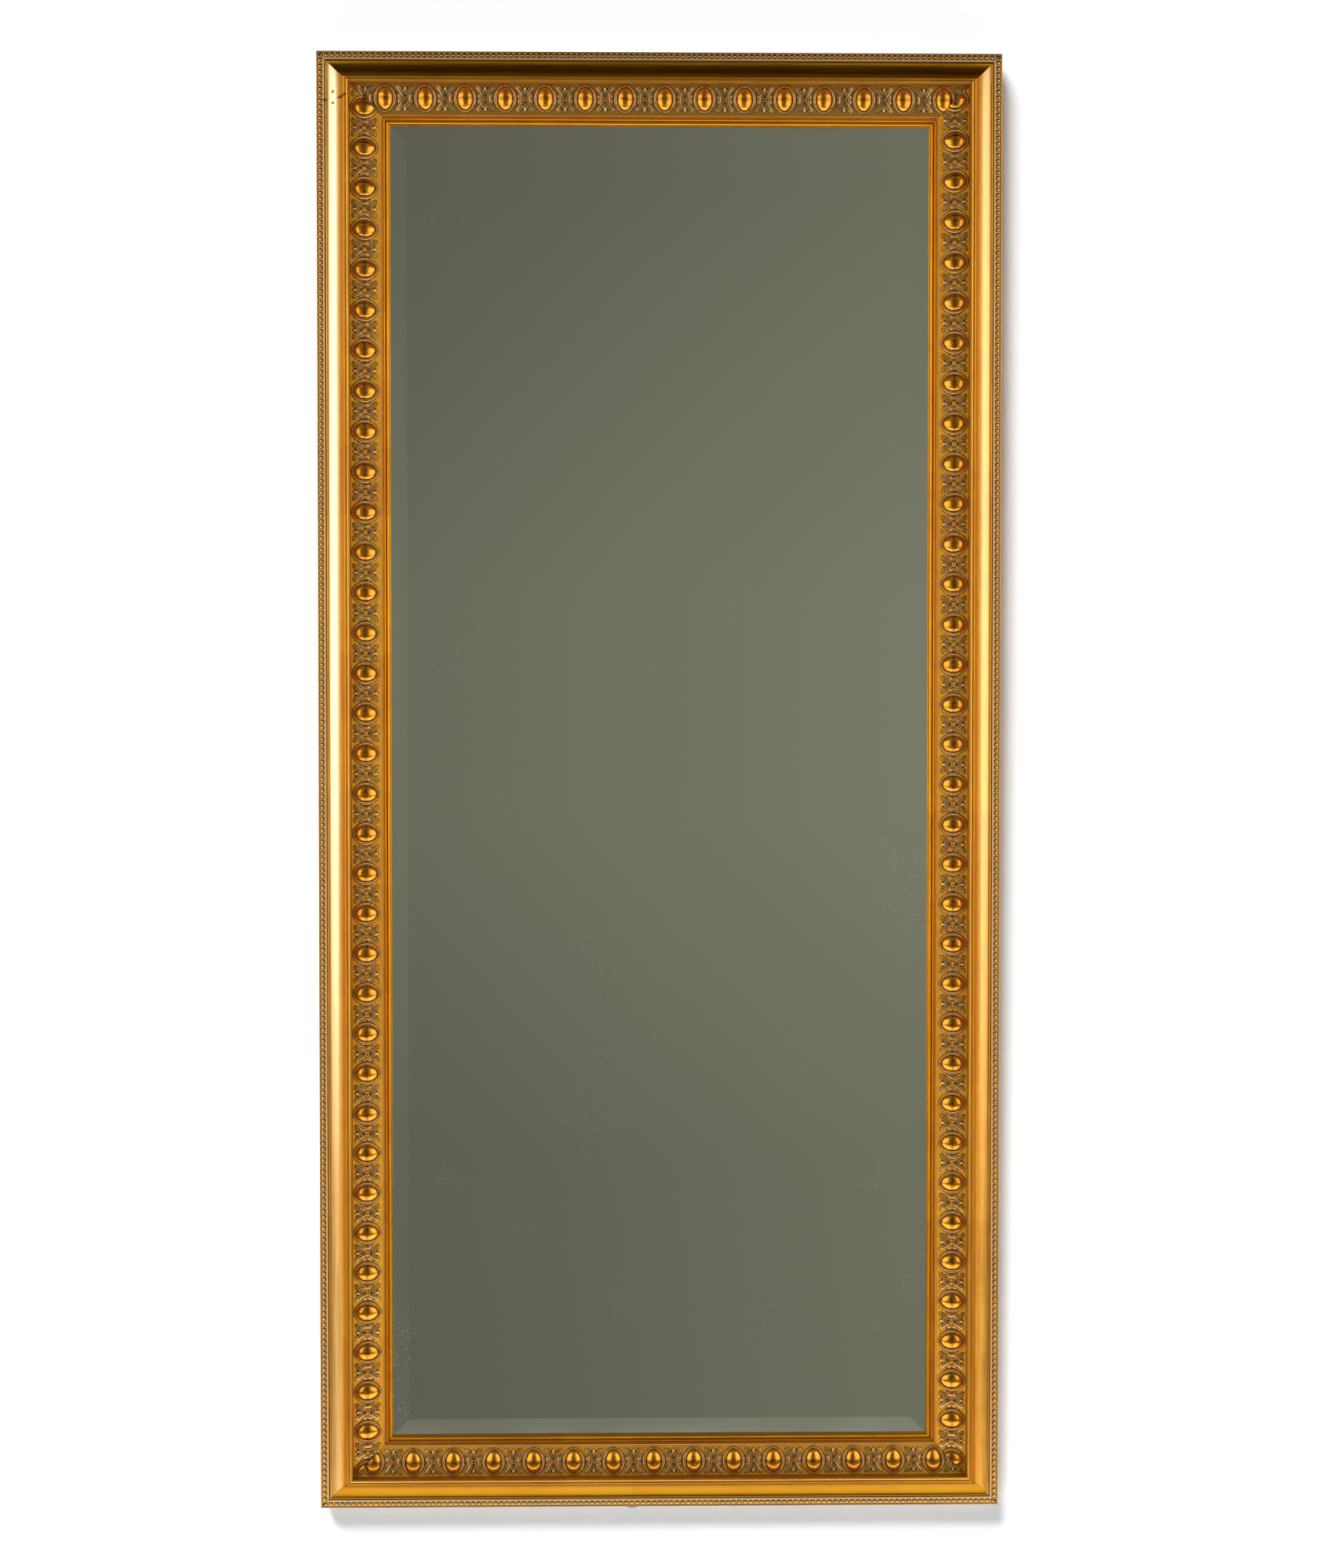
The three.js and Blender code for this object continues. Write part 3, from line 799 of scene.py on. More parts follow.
@dataclass(frozen=True)
class OrnamentGilding(Gilding):
    """The gilding of the eggs and leaves: amber eggs with a painted dark reflection down their middles, washed leaves,
    reddish rubbed places, and painted shade in the hollows, grooves and pits.
    """

    leaf: Triple = (1.0, 0.50, 0.02)
    toned: Triple = (0.86, 0.31, 0.006)
    roughness: float = 0.2
    brushed: Triple = (0.5, 0.35, 0.5)
    wash: Triple = (0.82, 0.55, 0.22)
    rosy: Triple = (0.74, 0.31, 0.13)
    # crevice_shade_colour: the near black of the painted shade in hollows, grooves and pits.
    crevice_shade_colour: Triple = (0.05, 0.02, 0.005)
    amber: Triple = (0.80, 0.31, 0.022)
    # reflected_dark: the dark of a painted reflection down the middle of each egg.
    reflected_dark: Triple = (0.20, 0.07, 0.008)

    def material(self) -> Material:
        """Makes the material.

        Returns:
            The material.
        """
        b = Bench("gilded_ornament")
        run = b.run()
        colour, streaks, grain = self.toned_leaf(b, run)
        hollow, wash, rosy, tone, ground, vein, crown = (b.mark(name) for name in ORNAMENT_MARKS)
        colour = b.blend(b.span(tone, 0.0, 1.0, 0.0, 0.4), colour, self.toned)
        colour = b.blend(b.span(crown, 0.0, 0.5), colour, self.amber)
        # Painted reflection: dark streaks down the middle of each egg, where the crown mark is high, stand in for the
        # dark room mirrored there.
        reflection_streaks = b.span(b.noise(b.stretch(run, (0.9, 0.22, 0.9)), 1.0, 3.0, 0.6), 0.4, 0.6)
        dark_reflection = b.times(b.span(crown, 0.5, 0.95), b.span(reflection_streaks, 0.0, 1.0, 0.35, 0.95))
        colour = b.blend(dark_reflection, colour, self.reflected_dark)
        fine = b.noise(run, 1.3, 3.0, 0.6)
        rubbed = b.times(rosy, b.span(fine, 0.35, 0.6))
        colour = b.blend(rubbed, colour, self.rosy)
        washed = b.times(wash, b.span(b.noise(run, 0.35, 3.0, 0.6), 0.3, 0.6, 0.4))
        colour = b.blend(washed, colour, self.wash)
        pits = b.times(b.span(b.cells(run, 0.85), 0.1, 0.27, 1.0, 0.0), ground)
        # Painted shade: hollows, grooves and the pits of the ground go towards near black.
        hollow_shade = b.most(b.span(hollow, 0.1, 0.42), b.span(vein, 0.35, 0.95, 0.0, 0.85))
        crevice_shade = b.most(b.times(hollow_shade, b.span(fine, 0.2, 0.6, 0.8)), b.times(pits, 0.75))
        colour = b.blend(crevice_shade, colour, self.crevice_shade_colour)
        dull = b.most(b.times(washed, 0.45), b.times(crevice_shade, 0.85), b.times(rubbed, 0.4))
        rough = b.span(streaks, 0.3, 0.7, self.roughness - 0.04, self.roughness + 0.1)
        return b.surface(
            Base_Color=colour,
            Metallic=b.plus(b.times(dull, -0.85), 1.0),
            Roughness=b.plus(rough, b.times(ground, 0.27), b.times(dull, 0.4)),
            Coat_Weight=0.15,
            Coat_Roughness=0.14,
            Coat_IOR=1.6,
            Normal=b.bump(b.plus(b.times(pits, -1.0), b.times(grain, 0.35)), 0.6, 0.3),
        )


@dataclass(frozen=True)
class BeadGilding(Gilding):
    """The gilding of the beading: dull beads ringed with painted shade on a pale, rubbed strip."""

    roughness: float = 0.3
    dulled: Triple = (0.50, 0.29, 0.07)
    rubbed: Triple = (0.66, 0.41, 0.16)

    def material(self) -> Material:
        """Makes the material.

        Returns:
            The material.
        """
        b = Bench("gilded_beading")
        run = b.run()
        grain = b.noise(run, 0.9, 4.0, 0.65)
        strip = b.span(b.split(run)[2], LEVEL.bead_seat + 1.15, LEVEL.bead_seat + 1.5, 1.0, 0.0)
        colour = b.blend(b.span(b.noise(run, 0.08, 3.0, 0.6), 0.35, 0.65, 0.5, 1.0), self.leaf, self.dulled)
        colour = b.blend(b.times(strip, 0.9), colour, self.rubbed)
        # Painted shade: the hollow mark darkens the foot of each bead and a ring round it.
        hollow_shade = b.times(b.span(b.mark("hollow"), 0.15, 0.9), b.span(grain, 0.2, 0.6, 0.65, 0.95))
        dull = b.most(b.times(strip, 0.6), hollow_shade)
        return b.surface(
            Base_Color=b.blend(hollow_shade, colour, self.dirt_and_shade),
            Metallic=b.plus(b.times(dull, -0.85), 1.0),
            Roughness=b.plus(b.times(dull, 0.35), self.roughness),
            Coat_Weight=0.25,
            Coat_Roughness=0.2,
            Normal=b.bump(grain, 0.5, 0.25),
        )


@dataclass(frozen=True)
class Silvering:
    """The silvered plate, with faint foxing and dust near its edges."""

    silver: Triple = (0.86, 0.87, 0.83)
    fox: Triple = (0.93, 0.9, 0.84)
    clear: float = 0.215
    roughness: float = 0.03

    def material(self) -> Material:
        """Makes the material.

        Returns:
            The material.
        """
        b = Bench("silvered_plate")
        place = b.place()
        aside = b.span(b.maths("ABSOLUTE", b.split(place)[0]), self.clear, self.clear + 0.09, 0.25, 1.0)
        sparse = b.times(b.span(b.noise(place, 8.0), 0.52, 0.66), aside)
        dots = b.times(b.span(b.cells(place, 260.0), 0.1, 0.3, 1.0, 0.0), sparse)
        return b.surface(
            Base_Color=b.blend(b.times(dots, 0.8), self.silver, self.fox),
            Metallic=b.plus(b.times(dots, -0.35), 1.0),
            Roughness=b.span(b.noise(place, 9.0), 0.3, 0.7, self.roughness, self.roughness + 0.02),
        )


@dataclass(frozen=True)
class Grained:
    """A matt, fibrous or grained finish, such as board, card or cork."""

    name: str
    light: Triple
    dark: Triple
    grain: Triple
    speckle: float
    roughness: float = 0.85
    depth: float = 0.15

    def material(self) -> Material:
        """Makes the material.

        Returns:
            The material.
        """
        b = Bench(self.name)
        place = b.place()
        broad = b.noise(b.stretch(place, self.grain), 1.0, 4.0, 0.6)
        fine = b.noise(place, self.speckle, 3.0, 0.7)
        colour = b.blend(b.span(broad, 0.3, 0.7), self.light, self.dark)
        return b.surface(
            Base_Color=b.blend(b.span(fine, 0.45, 0.75, 0.0, 0.5), colour, self.dark),
            Roughness=b.span(fine, 0.3, 0.7, self.roughness - 0.08, self.roughness + 0.08),
            Specular_IOR_Level=0.3,
            Normal=b.bump(b.plus(b.times(broad, 0.6), b.times(fine, 0.4)), 0.5, self.depth),
        )


@dataclass(frozen=True)
class FlatSawn:
    """Bare softwood with its grain along the side, darkened by age."""

    light: Triple = (0.50, 0.33, 0.17)
    dark: Triple = (0.30, 0.17, 0.07)
    stain: Triple = (0.16, 0.09, 0.045)

    def material(self) -> Material:
        """Makes the material.

        Returns:
            The material.
        """
        b = Bench("bare_softwood")
        run = b.run()
        bend, fibre, stain = (
            b.noise(b.stretch(run, by), 1.0, detail, rough)
            for by, detail, rough in (
                ((0.03, 0.002, 0.03), 2.0, 0.55),
                ((1.6, 0.03, 1.6), 4.0, 0.65),
                ((0.02, 0.006, 0.02), 3.0, 0.55),
            )
        )
        across, _, up = b.split(run)
        rings = b.plus(b.times(across, 0.09), b.times(up, 0.05), b.times(bend, 5.0))
        grain = b.span(b.maths("PINGPONG", rings, 0.5), 0.1, 0.5)
        colour = b.blend(b.times(grain, 0.7), self.light, self.dark)
        colour = b.blend(b.span(fibre, 0.45, 0.75, 0.0, 0.55), colour, self.dark)
        return b.surface(
            Base_Color=b.blend(b.span(stain, 0.5, 0.75, 0.0, 0.5), colour, self.stain),
            Roughness=b.span(fibre, 0.3, 0.7, 0.68, 0.85),
            Specular_IOR_Level=0.3,
            Normal=b.bump(b.plus(b.times(fibre, 0.6), b.times(grain, 0.4)), 0.5, 0.2),
        )


@dataclass(frozen=True)
class Metal:
    """Plain or plated steel, with a little tarnish."""

    name: str
    bright: Triple
    tarnish: Triple
    roughness: float
    spread: float = 0.35

    def material(self) -> Material:
        """Makes the material.

        Returns:
            The material.
        """
        b = Bench(self.name)
        place = b.place()
        spots = b.noise(place, 260.0, 4.0, 0.65)
        return b.surface(
            Base_Color=b.blend(b.span(spots, 0.45, 0.75, 0.0, self.spread), self.bright, self.tarnish),
            Metallic=0.95,
            Roughness=b.span(spots, 0.35, 0.7, self.roughness, self.roughness + 0.2),
            Normal=b.bump(b.noise(place, 1500.0), 0.25, 0.05),
        )


@dataclass(frozen=True)
class Rubber:
    """Matt black rubber with a little dust."""

    black: Triple = (0.012, 0.012, 0.013)
    dust: Triple = (0.07, 0.066, 0.06)

    def material(self) -> Material:
        """Makes the material.

        Returns:
            The material.
        """
        b = Bench("black_rubber")
        place = b.place()
        fine = b.noise(place, 2400.0, 2.0)
        patches = b.span(b.noise(place, 220.0, 4.0, 0.6), 0.5, 0.8, 0.0, 0.6)
        return b.surface(
            Base_Color=b.blend(patches, self.black, self.dust),
            Roughness=b.span(fine, 0.3, 0.7, 0.62, 0.78),
            Normal=b.bump(fine, 0.3, 0.05),
        )


# ---------------------------------------------------------------- the frame's sides


@dataclass
class Moulding:
    """One moulded member of the frame, gilded in front and bare behind."""

    side: Side
    # cove_highlight: how strong the painted highlight along the cove is; highlight_fade: how much of it goes towards
    # the foot of a stile.
    cove_highlight: float
    # side_shade: how strong the painted shade over the whole side is.
    side_shade: float
    highlight_fade: float = 0.65
    rounding: float = 0.28
    lengths: int = 10
    cove_end: float = 32.0

    def section(self) -> list[Point]:
        """The member's section, from the back round by the rebate, the sight and the ridge to the edge.

        Returns:
            The points, in order.
        """
        a, h = ACROSS, LEVEL
        bead = round_top(a.sight_bead, a.sight, h.sight, 2.0, 14)[:-1]
        hollow = arc((a.sight_hollow + 1.1, h.sight_hollow + 0.9), (1.1, 1.3), 70, -70, 6)
        cove = arc((a.cove, h.ridge), (a.ridge - a.cove, h.ridge - h.astragal), 90, 0, 30)
        return [
            *((0.0, 0.0), (a.rebate, 0.0), (a.rebate, h.lip), (a.sight, h.lip)),
            *(*bead, (a.sight_bead + 0.02, h.sight + 0.05)),
            *((a.sight_bead - 0.1, h.sight), (a.sight_quirk, h.sight)),
            *round_top(a.sight_astragal, a.sight_quirk, h.sight_hollow, 1.8, 8),
            *hollow[1:-1],
            *((a.sight_hollow, h.sight_hollow), (a.sight_hollow, h.sight_fillet)),
            *((a.sight_fillet, h.sight_fillet), (a.sight_fillet, h.seat_inner)),
            *((a.ornament, h.seat_outer), (a.ornament, h.inner_fillet - 0.2)),
            *((a.inner_fillet + 1.3, h.inner_fillet), (a.inner_fillet, h.inner_fillet - 0.2)),
            *((a.inner_fillet, h.ridge_hollow), (a.inner_fillet - 0.9, h.ridge_hollow - 0.3)),
            *((a.ridge_hollow, h.ridge_hollow), (a.ridge_hollow, h.ridge_fillet), (a.ridge, h.ridge_fillet)),
            *cove,
            *round_top(a.astragal, a.cove, h.astragal, 0.5, 6)[1:],
            *((a.astragal, h.quirk), (a.quirk, h.quirk), (a.quirk, h.flat_fillet)),
            *((a.flat_fillet, h.flat_fillet), (a.flat_fillet, h.bead_seat)),
            *((a.bead_seat, h.bead_seat), (a.bead_seat, h.edge), (0.0, h.edge)),
        ]

    def build(self, gilding: Material, bare: Material) -> None:
        """Makes the member.

        Args:
            gilding: the finish of its front and its edge.
            bare: the finish of its back and rebate.
        """
        bm = long_run(self.section(), self.side.half, self.rounding, self.lengths)
        mark(bm, (), cove_highlight=0.0, side_shade=0.0)
        cove_highlight, side_shade = (bm.verts.layers.float[name] for name in ("cove_highlight", "side_shade"))
        for vert in bm.verts:
            # Painted highlight along the cove, fading towards the foot of a stile.
            vert[cove_highlight] = self.cove_highlight * (1.0 - self.highlight_fade * held((self.side.drop(vert.co.y) - 0.45) / 0.35))
            # Painted shade, full over the edge and the cove and weaker further in.
            vert[side_shade] = self.side_shade * (1.0 if vert.co.x < self.cove_end else 0.4)
        for face in bm.faces:
            middle = face.calc_center_median()
            behind = middle.z < 0.05 or (middle.x > ACROSS.rebate - 0.4 and middle.z < LEVEL.lip + 0.1)
            mitred = abs(face.normal.x) > 0.5 and abs(face.normal.y) > 0.5
            face.material_index = 1 if behind or mitred else 0
        side = self.side
        name = f"moulding_{side.key}"
        show(bm, name, "gilded_wood", side.value[0], side.place, gilding, bare, shift=side.shift, crease=32)


@dataclass
class Beading:
    """The strip of small beads next to a side's outer edge."""

    side: Side
    pitch: float = 6.69
    radius: float = 2.5
    base: float = 0.8
    length: float = 0.6
    # wash: how far the ring of painted shade round each bead reaches.
    wash: float = 0.75

    def bead(self) -> BMesh:
        """One bead with its flat foot, a few dozen faces.

        Returns:
            The mesh.
        """
        bm = ball(10, 6, self.radius)
        foot = {"plane_co": (0, 0, -0.1), "plane_no": (0, 0, -1), "clear_outer": True}
        bmesh.ops.bisect_plane(bm, geom=everything(bm), dist=1e-4, **foot)
        fill_holes(bm)
        mark(bm, bm.verts, hollow=0.0)
        # The lower part of each bead is marked for painted shade at its foot.
        for share, hollow in ((0.7, 0.12), (0.2, 0.9)):
            mark(bm, [v for v in bm.verts if v.co.z < self.radius * share], hollow=hollow)
        return bm

    def build(self, gilding: Material) -> None:
        """Makes the beading with its finish.

        Args:
            gilding: its finish.
        """
        side = self.side
        left, right = ACROSS.bead_seat + OUTER.fit_gap, ACROSS.flat_fillet - OUTER.fit_gap
        foot = LEVEL.bead_seat + OUTER.fit_gap
        top, middle = foot + self.base, (left + right) / 2
        section = [(left, foot), (right, foot), *((right + (left - right) * i / 4, top) for i in range(5))]
        bm = long_run(section, side.half, steps=round(2 * side.half / self.length))
        mark(bm, bm.verts, hollow=0.0)
        bead = shape_of(self.bead())
        count = int((side.half - middle) / self.pitch)
        for i in range(-count, count + 1):
            stamp(bm, bead, at(middle, i * self.pitch, top))
        cut_mitres(bm, side.half)
        turn_out(bm)
        # Each bead gets a ring of the hollow mark round it on the strip, for painted shade.
        hollow = bm.verts.layers.float["hollow"]
        for vert in bm.verts:
            if vert.co.z < top + 0.01:
                gap = vert.co.y - round(vert.co.y / self.pitch) * self.pitch
                vert[hollow] = held(1.0 - (math.hypot(vert.co.x - middle, gap) - self.radius) / self.wash)
        solid = f"beading_{side.key}"
        show(bm, f"beads_{side.key}", "gilded_beading", solid, side.place, gilding, shift=side.shift, crease=60)


LEAF_PATH = (
    *((0.6, 1.7, 4, 2.0, 0.6), (3.0, 2.5, 12, 3.4, 0.85), (5.8, 3.5, 18, 4.6, 1.0), (8.4, 4.7, 25, 5.5, 1.0)),
    *((10.7, 6.2, 36, 5.8, 0.95), (12.4, 7.9, 52, 5.0, 0.8), (13.2, 9.5, 66, 3.6, 0.35)),
)
"""Places along a leaf: its middle, its turn in degrees, its width and its share of the full height."""
LEAF_RIBS = (
    *((-0.5, -1.0), (-0.47, 0.4), (-0.42, 0.9), (-0.26, 0.9), (-0.19, 0.2), (-0.11, 1.0)),
    *((0.06, 1.0), (0.13, 0.2), (0.21, 0.8), (0.4, 0.7), (0.46, 0.3), (0.5, -1.0)),
)
"""Places across a leaf as a share of its width, with their share of its height, or -1 below the ground."""
BUDS = ((11.3, 0.0, (3.6, 1.9, 2.3)), (8.6, 1.5, (3.2, 0.95, 1.7)), (8.6, -1.5, (3.2, 0.95, 1.7)))
"""The buds at each end of a pair of leaves: their middles and half sizes."""


@dataclass
class EggAndLeaf:
    """The cast ornament of one side: eggs in double rims, with pairs of leaves tied between them."""

    side: Side
    pitch: float
    start: float
    # side_shade: how strong the painted shade over the side's whole ornament is.
    side_shade: float
    egg_half: Point = (13.1, 9.4)
    rim_half: Point = (15.75, 13.25)
    egg_height: float = 5.6
    egg_foot: float = 0.5
    rim_height: float = 2.6
    ground_height: float = 2.3
    sink: float = 0.8
    leaf_height: float = 1.9
    grid: float = 1.25

    @property
    def fall(self) -> float:
        """How steeply the ground falls towards the sight."""
        return (LEVEL.seat_outer - LEVEL.seat_inner) / (ACROSS.sight_fillet - ACROSS.ornament)

    def ground_level(self, across: float) -> float:
        """The height of the ground at one place across the side."""
        return LEVEL.seat_outer - (across - ACROSS.ornament) * self.fall + self.ground_height

    def egg(self) -> BMesh:
        """One egg in its double rim, on z = 0.

        Returns:
            The mesh.
        """
        edge, outer = self.egg_half[0], self.rim_half[0]
        angles = [math.radians(a) for a in (0, 14, 28, 42, 55, 66, 75, 82, 87)]
        rise = self.egg_height - self.egg_foot
        dome = [(edge * math.sin(a), self.egg_foot + rise * math.cos(a)) for a in angles]
        rim = ((0.3, 0.72), (0.65, 0.88), (1.0, 0.8), (1.22, 0.4), (1.46, 0.85), (1.9, 1.0), (2.35, 0.8))
        profile = [*dome, (edge + 0.06, 0.2), *((edge + out, self.rim_height * share) for out, share in rim)]
        bm = turned([*profile, (outer, self.rim_height * 0.2), (outer, -self.sink), (0.0, -self.sink)], 28)
        mark(bm, bm.verts, wash=0.0, rosy=0.0, vein=0.0, crown=0.0)
        wash, vein, crown = (bm.verts.layers.float[name] for name in ("wash", "vein", "crown"))
        for vert in bm.verts:
            radius = math.hypot(vert.co.x, vert.co.y)
            if radius > edge + 0.2:
                vert[wash] = 0.85
            # crown marks each egg for its amber tone and, strongest down its middle, for the painted dark reflection.
            if radius < edge:
                vert[crown] = 0.45 + 0.55 * held(1.0 - abs(vert.co.x + 0.6) / 4.2)
            # The grooves of the rim are marked for painted shade.
            if min(abs(radius - groove) for groove in (edge + 0.06, edge + 1.22, outer)) < 0.05:
                vert[vein] = 1.0
            if radius > 1e-6:
                self.to_oval(vert, radius)
        return bm

    def to_oval(self, vert: BMVert, radius: float) -> None:
        """Draws one vertex of a round egg in to its oval, a little pointed at both ends.

        Args:
            vert: the vertex.
            radius: how far it lies from the egg's middle.
        """
        (edge, edge_low), (outer, outer_low) = self.egg_half, self.rim_half
        past = max(0.0, radius - edge) / (outer - edge)
        along = edge_low * min(radius, edge) / edge + (outer_low - edge_low) * past
        vert.co.y *= along / radius * (1.0 - 0.1 * abs(vert.co.x / radius) ** 4)

    def leaf(self) -> BMesh:
        """One ribbed leaf, from the tie outwards to its curled tip.

        Returns:
            The mesh.
        """
        columns, rows = len(LEAF_RIBS) - 1, len(LEAF_PATH) - 1
        bm = bmesh.new()
        bmesh.ops.create_grid(bm, x_segments=columns, y_segments=rows, size=1.0)
        mark(bm, (), vein=0.0)
        vein = bm.verts.layers.float["vein"]
        for vert in bm.verts:
            across, rise = LEAF_RIBS[round((vert.co.x + 1) / 2 * columns)]
            row = round((vert.co.y + 1) / 2 * rows)
            x, y, degrees, width, lift = LEAF_PATH[row]
            curl = (1.1 if rise > 0.5 else -0.5) if row == rows else 0.0
            place = Vector((x, y, 0)) + turn(math.radians(degrees), "Z") @ Vector((curl, across * width, 0))
            vert.co = (place.x, place.y, rise * self.leaf_height * lift if rise > 0 else -self.sink)
            # The low places between the ribs are marked for painted shade.
            vert[vein] = 1.0 if rise < 0.5 else 0.0
        fill_holes(bm)
        return bm

    def leaves(self) -> BMesh:
        """One pair of leaves each way, with their tie, buds, webs and pearls, on z = 0.

        Returns:
            The mesh.
        """
        bm = bmesh.new()
        for across, along in ((1, 1), (1, -1), (-1, 1), (-1, -1)):
            add(bm, self.leaf(), scaled(across, along, 1), wash=0.62, rosy=0.1)
        for end in (1, -1):
            for x, y, sizes in BUDS:
                add(bm, ball(8, 5), at(end * x, y, 0) @ scaled(*sizes), wash=0.5, rosy=0.45)
            stem = bmesh.new()
            bmesh.ops.create_cone(stem, cap_ends=True, segments=6, radius1=1.1, radius2=0.8, depth=7.0)
            add(bm, stem, at(end * 6.0, 0, 1.1) @ turn(-end * QUARTER, "Y"), wash=0.6, rosy=0.4)
            add(bm, ball(10, 5), at(0, end * 6.4, -0.15) @ scaled(7.2, 3.3, 1.1), wash=0.15, rosy=0.8)
            for across in (-6.8, -3.4, 0.0, 3.4, 6.8):
                pearl = bmesh.new()
                bmesh.ops.create_icosphere(pearl, subdivisions=1, radius=0.8)
                add(bm, pearl, at(across, end * (8.6 + across * across * 0.03), 0.3), wash=0.1, rosy=0.9)
        for across in (-1.7, 0.0, 1.7):
            bar = bmesh.new()
            bmesh.ops.create_cube(bar, size=1.0)
            bar.transform(scaled(1.15, 7.4 - abs(across) * 0.6, 4.4))
            soften(bar, 0.4, segments=1)
            add(bm, bar, at(across, 0, 0.2), wash=0.15, rosy=0.1)
        return bm

    def shapes(self) -> list[bpy.types.Mesh]:
        """The egg and the leaves, with their hollows marked for painted shade.

        Returns:
            The two meshes.
        """
        around = bmesh.new()
        bmesh.ops.create_grid(around, x_segments=1, y_segments=1, size=2 * self.pitch)
        for step in (-1, 0, 1):
            add(around, self.egg(), at(0, step * self.pitch, 0))
            add(around, self.leaves(), at(0, (step + 0.5) * self.pitch, 0))
        tree = BVHTree.FromBMesh(around)
        around.free()
        made = []
        for bm, along in ((self.egg(), 0.0), (self.leaves(), self.pitch / 2)):
            turn_out(bm)
            mark(bm, bm.verts, hollow=0.0)
            mark_occlusion_shade(bm, tree, bm.verts, (0, along, 0))
            made.append(shape_of(bm))
        return made

    def ground(self) -> BMesh:
        """The thin ground that the eggs and leaves stand on.

        Returns:
            The mesh.
        """
        outer, inner = ACROSS.ornament + OUTER.fit_gap, ACROSS.sight_fillet - OUTER.fit_gap
        columns = round((inner - outer) / self.grid)
        places = [inner + (outer - inner) * i / columns for i in range(columns + 1)]
        section = [(u, self.ground_level(u) - 2.0) for u in (outer, inner)]
        section += [(u, self.ground_level(u)) for u in places]
        return long_run(section, self.side.half, steps=round(2 * self.side.half / self.grid))

    def build(self, gilding: Material, rng: random.Random) -> None:
        """Makes the ornament.

        Args:
            gilding: its finish.
            rng: where the small differences between the casts come from.
        """
        side = self.side
        bm = bmesh.new()
        mark(bm, (), **dict.fromkeys(ORNAMENT_MARKS, 0.0))
        add(bm, self.ground(), Matrix(), ground=1.0, rosy=0.1)
        egg, leaves = self.shapes()
        limit = side.half - ACROSS.ornament
        first, last = math.ceil((-limit - self.start) / self.pitch), math.floor((limit - self.start) / self.pitch)
        tilt = turn(math.atan(self.fall), "Y")
        for i in range(first - 1, last + 1):
            along = self.start + i * self.pitch
            for shape, spot in [(leaves, along + self.pitch / 2)] + [(egg, along)] * (i >= first):
                jitter = turn(math.radians(rng.uniform(-1.2, 1.2)), "Z")
                seat = at(ACROSS.egg, spot + rng.uniform(-0.25, 0.25), self.ground_level(ACROSS.egg))
                stamp(bm, shape, seat @ tilt @ jitter, tone=rng.random())
        cut_mitres(bm, side.half)
        # Painted shade over the whole side.
        mark(bm, bm.verts, side_shade=self.side_shade)
        turn_out(bm)
        ground = bm.verts.layers.float["ground"]
        # The ground is marked for painted shade where the eggs and leaves hem it in.
        mark_occlusion_shade(bm, BVHTree.FromBMesh(bm), [v for v in bm.verts if v[ground] > 0.5])
        name, solid = f"eggs_and_leaves_{side.key}", f"egg_and_leaf_{side.key}"
        show(bm, name, "gilded_composition", solid, side.place, gilding, shift=side.shift, crease=50)


# ---------------------------------------------------------------- fittings

HANDS = {"left": -1, "right": 1}
CORNERS = {"top_left": (-1, 1, 0), "top_right": (1, 1, 90), "bottom_left": (-1, -1, -90), "bottom_right": (1, -1, 180)}
"""The corners: which way each lies, and its turn in degrees."""


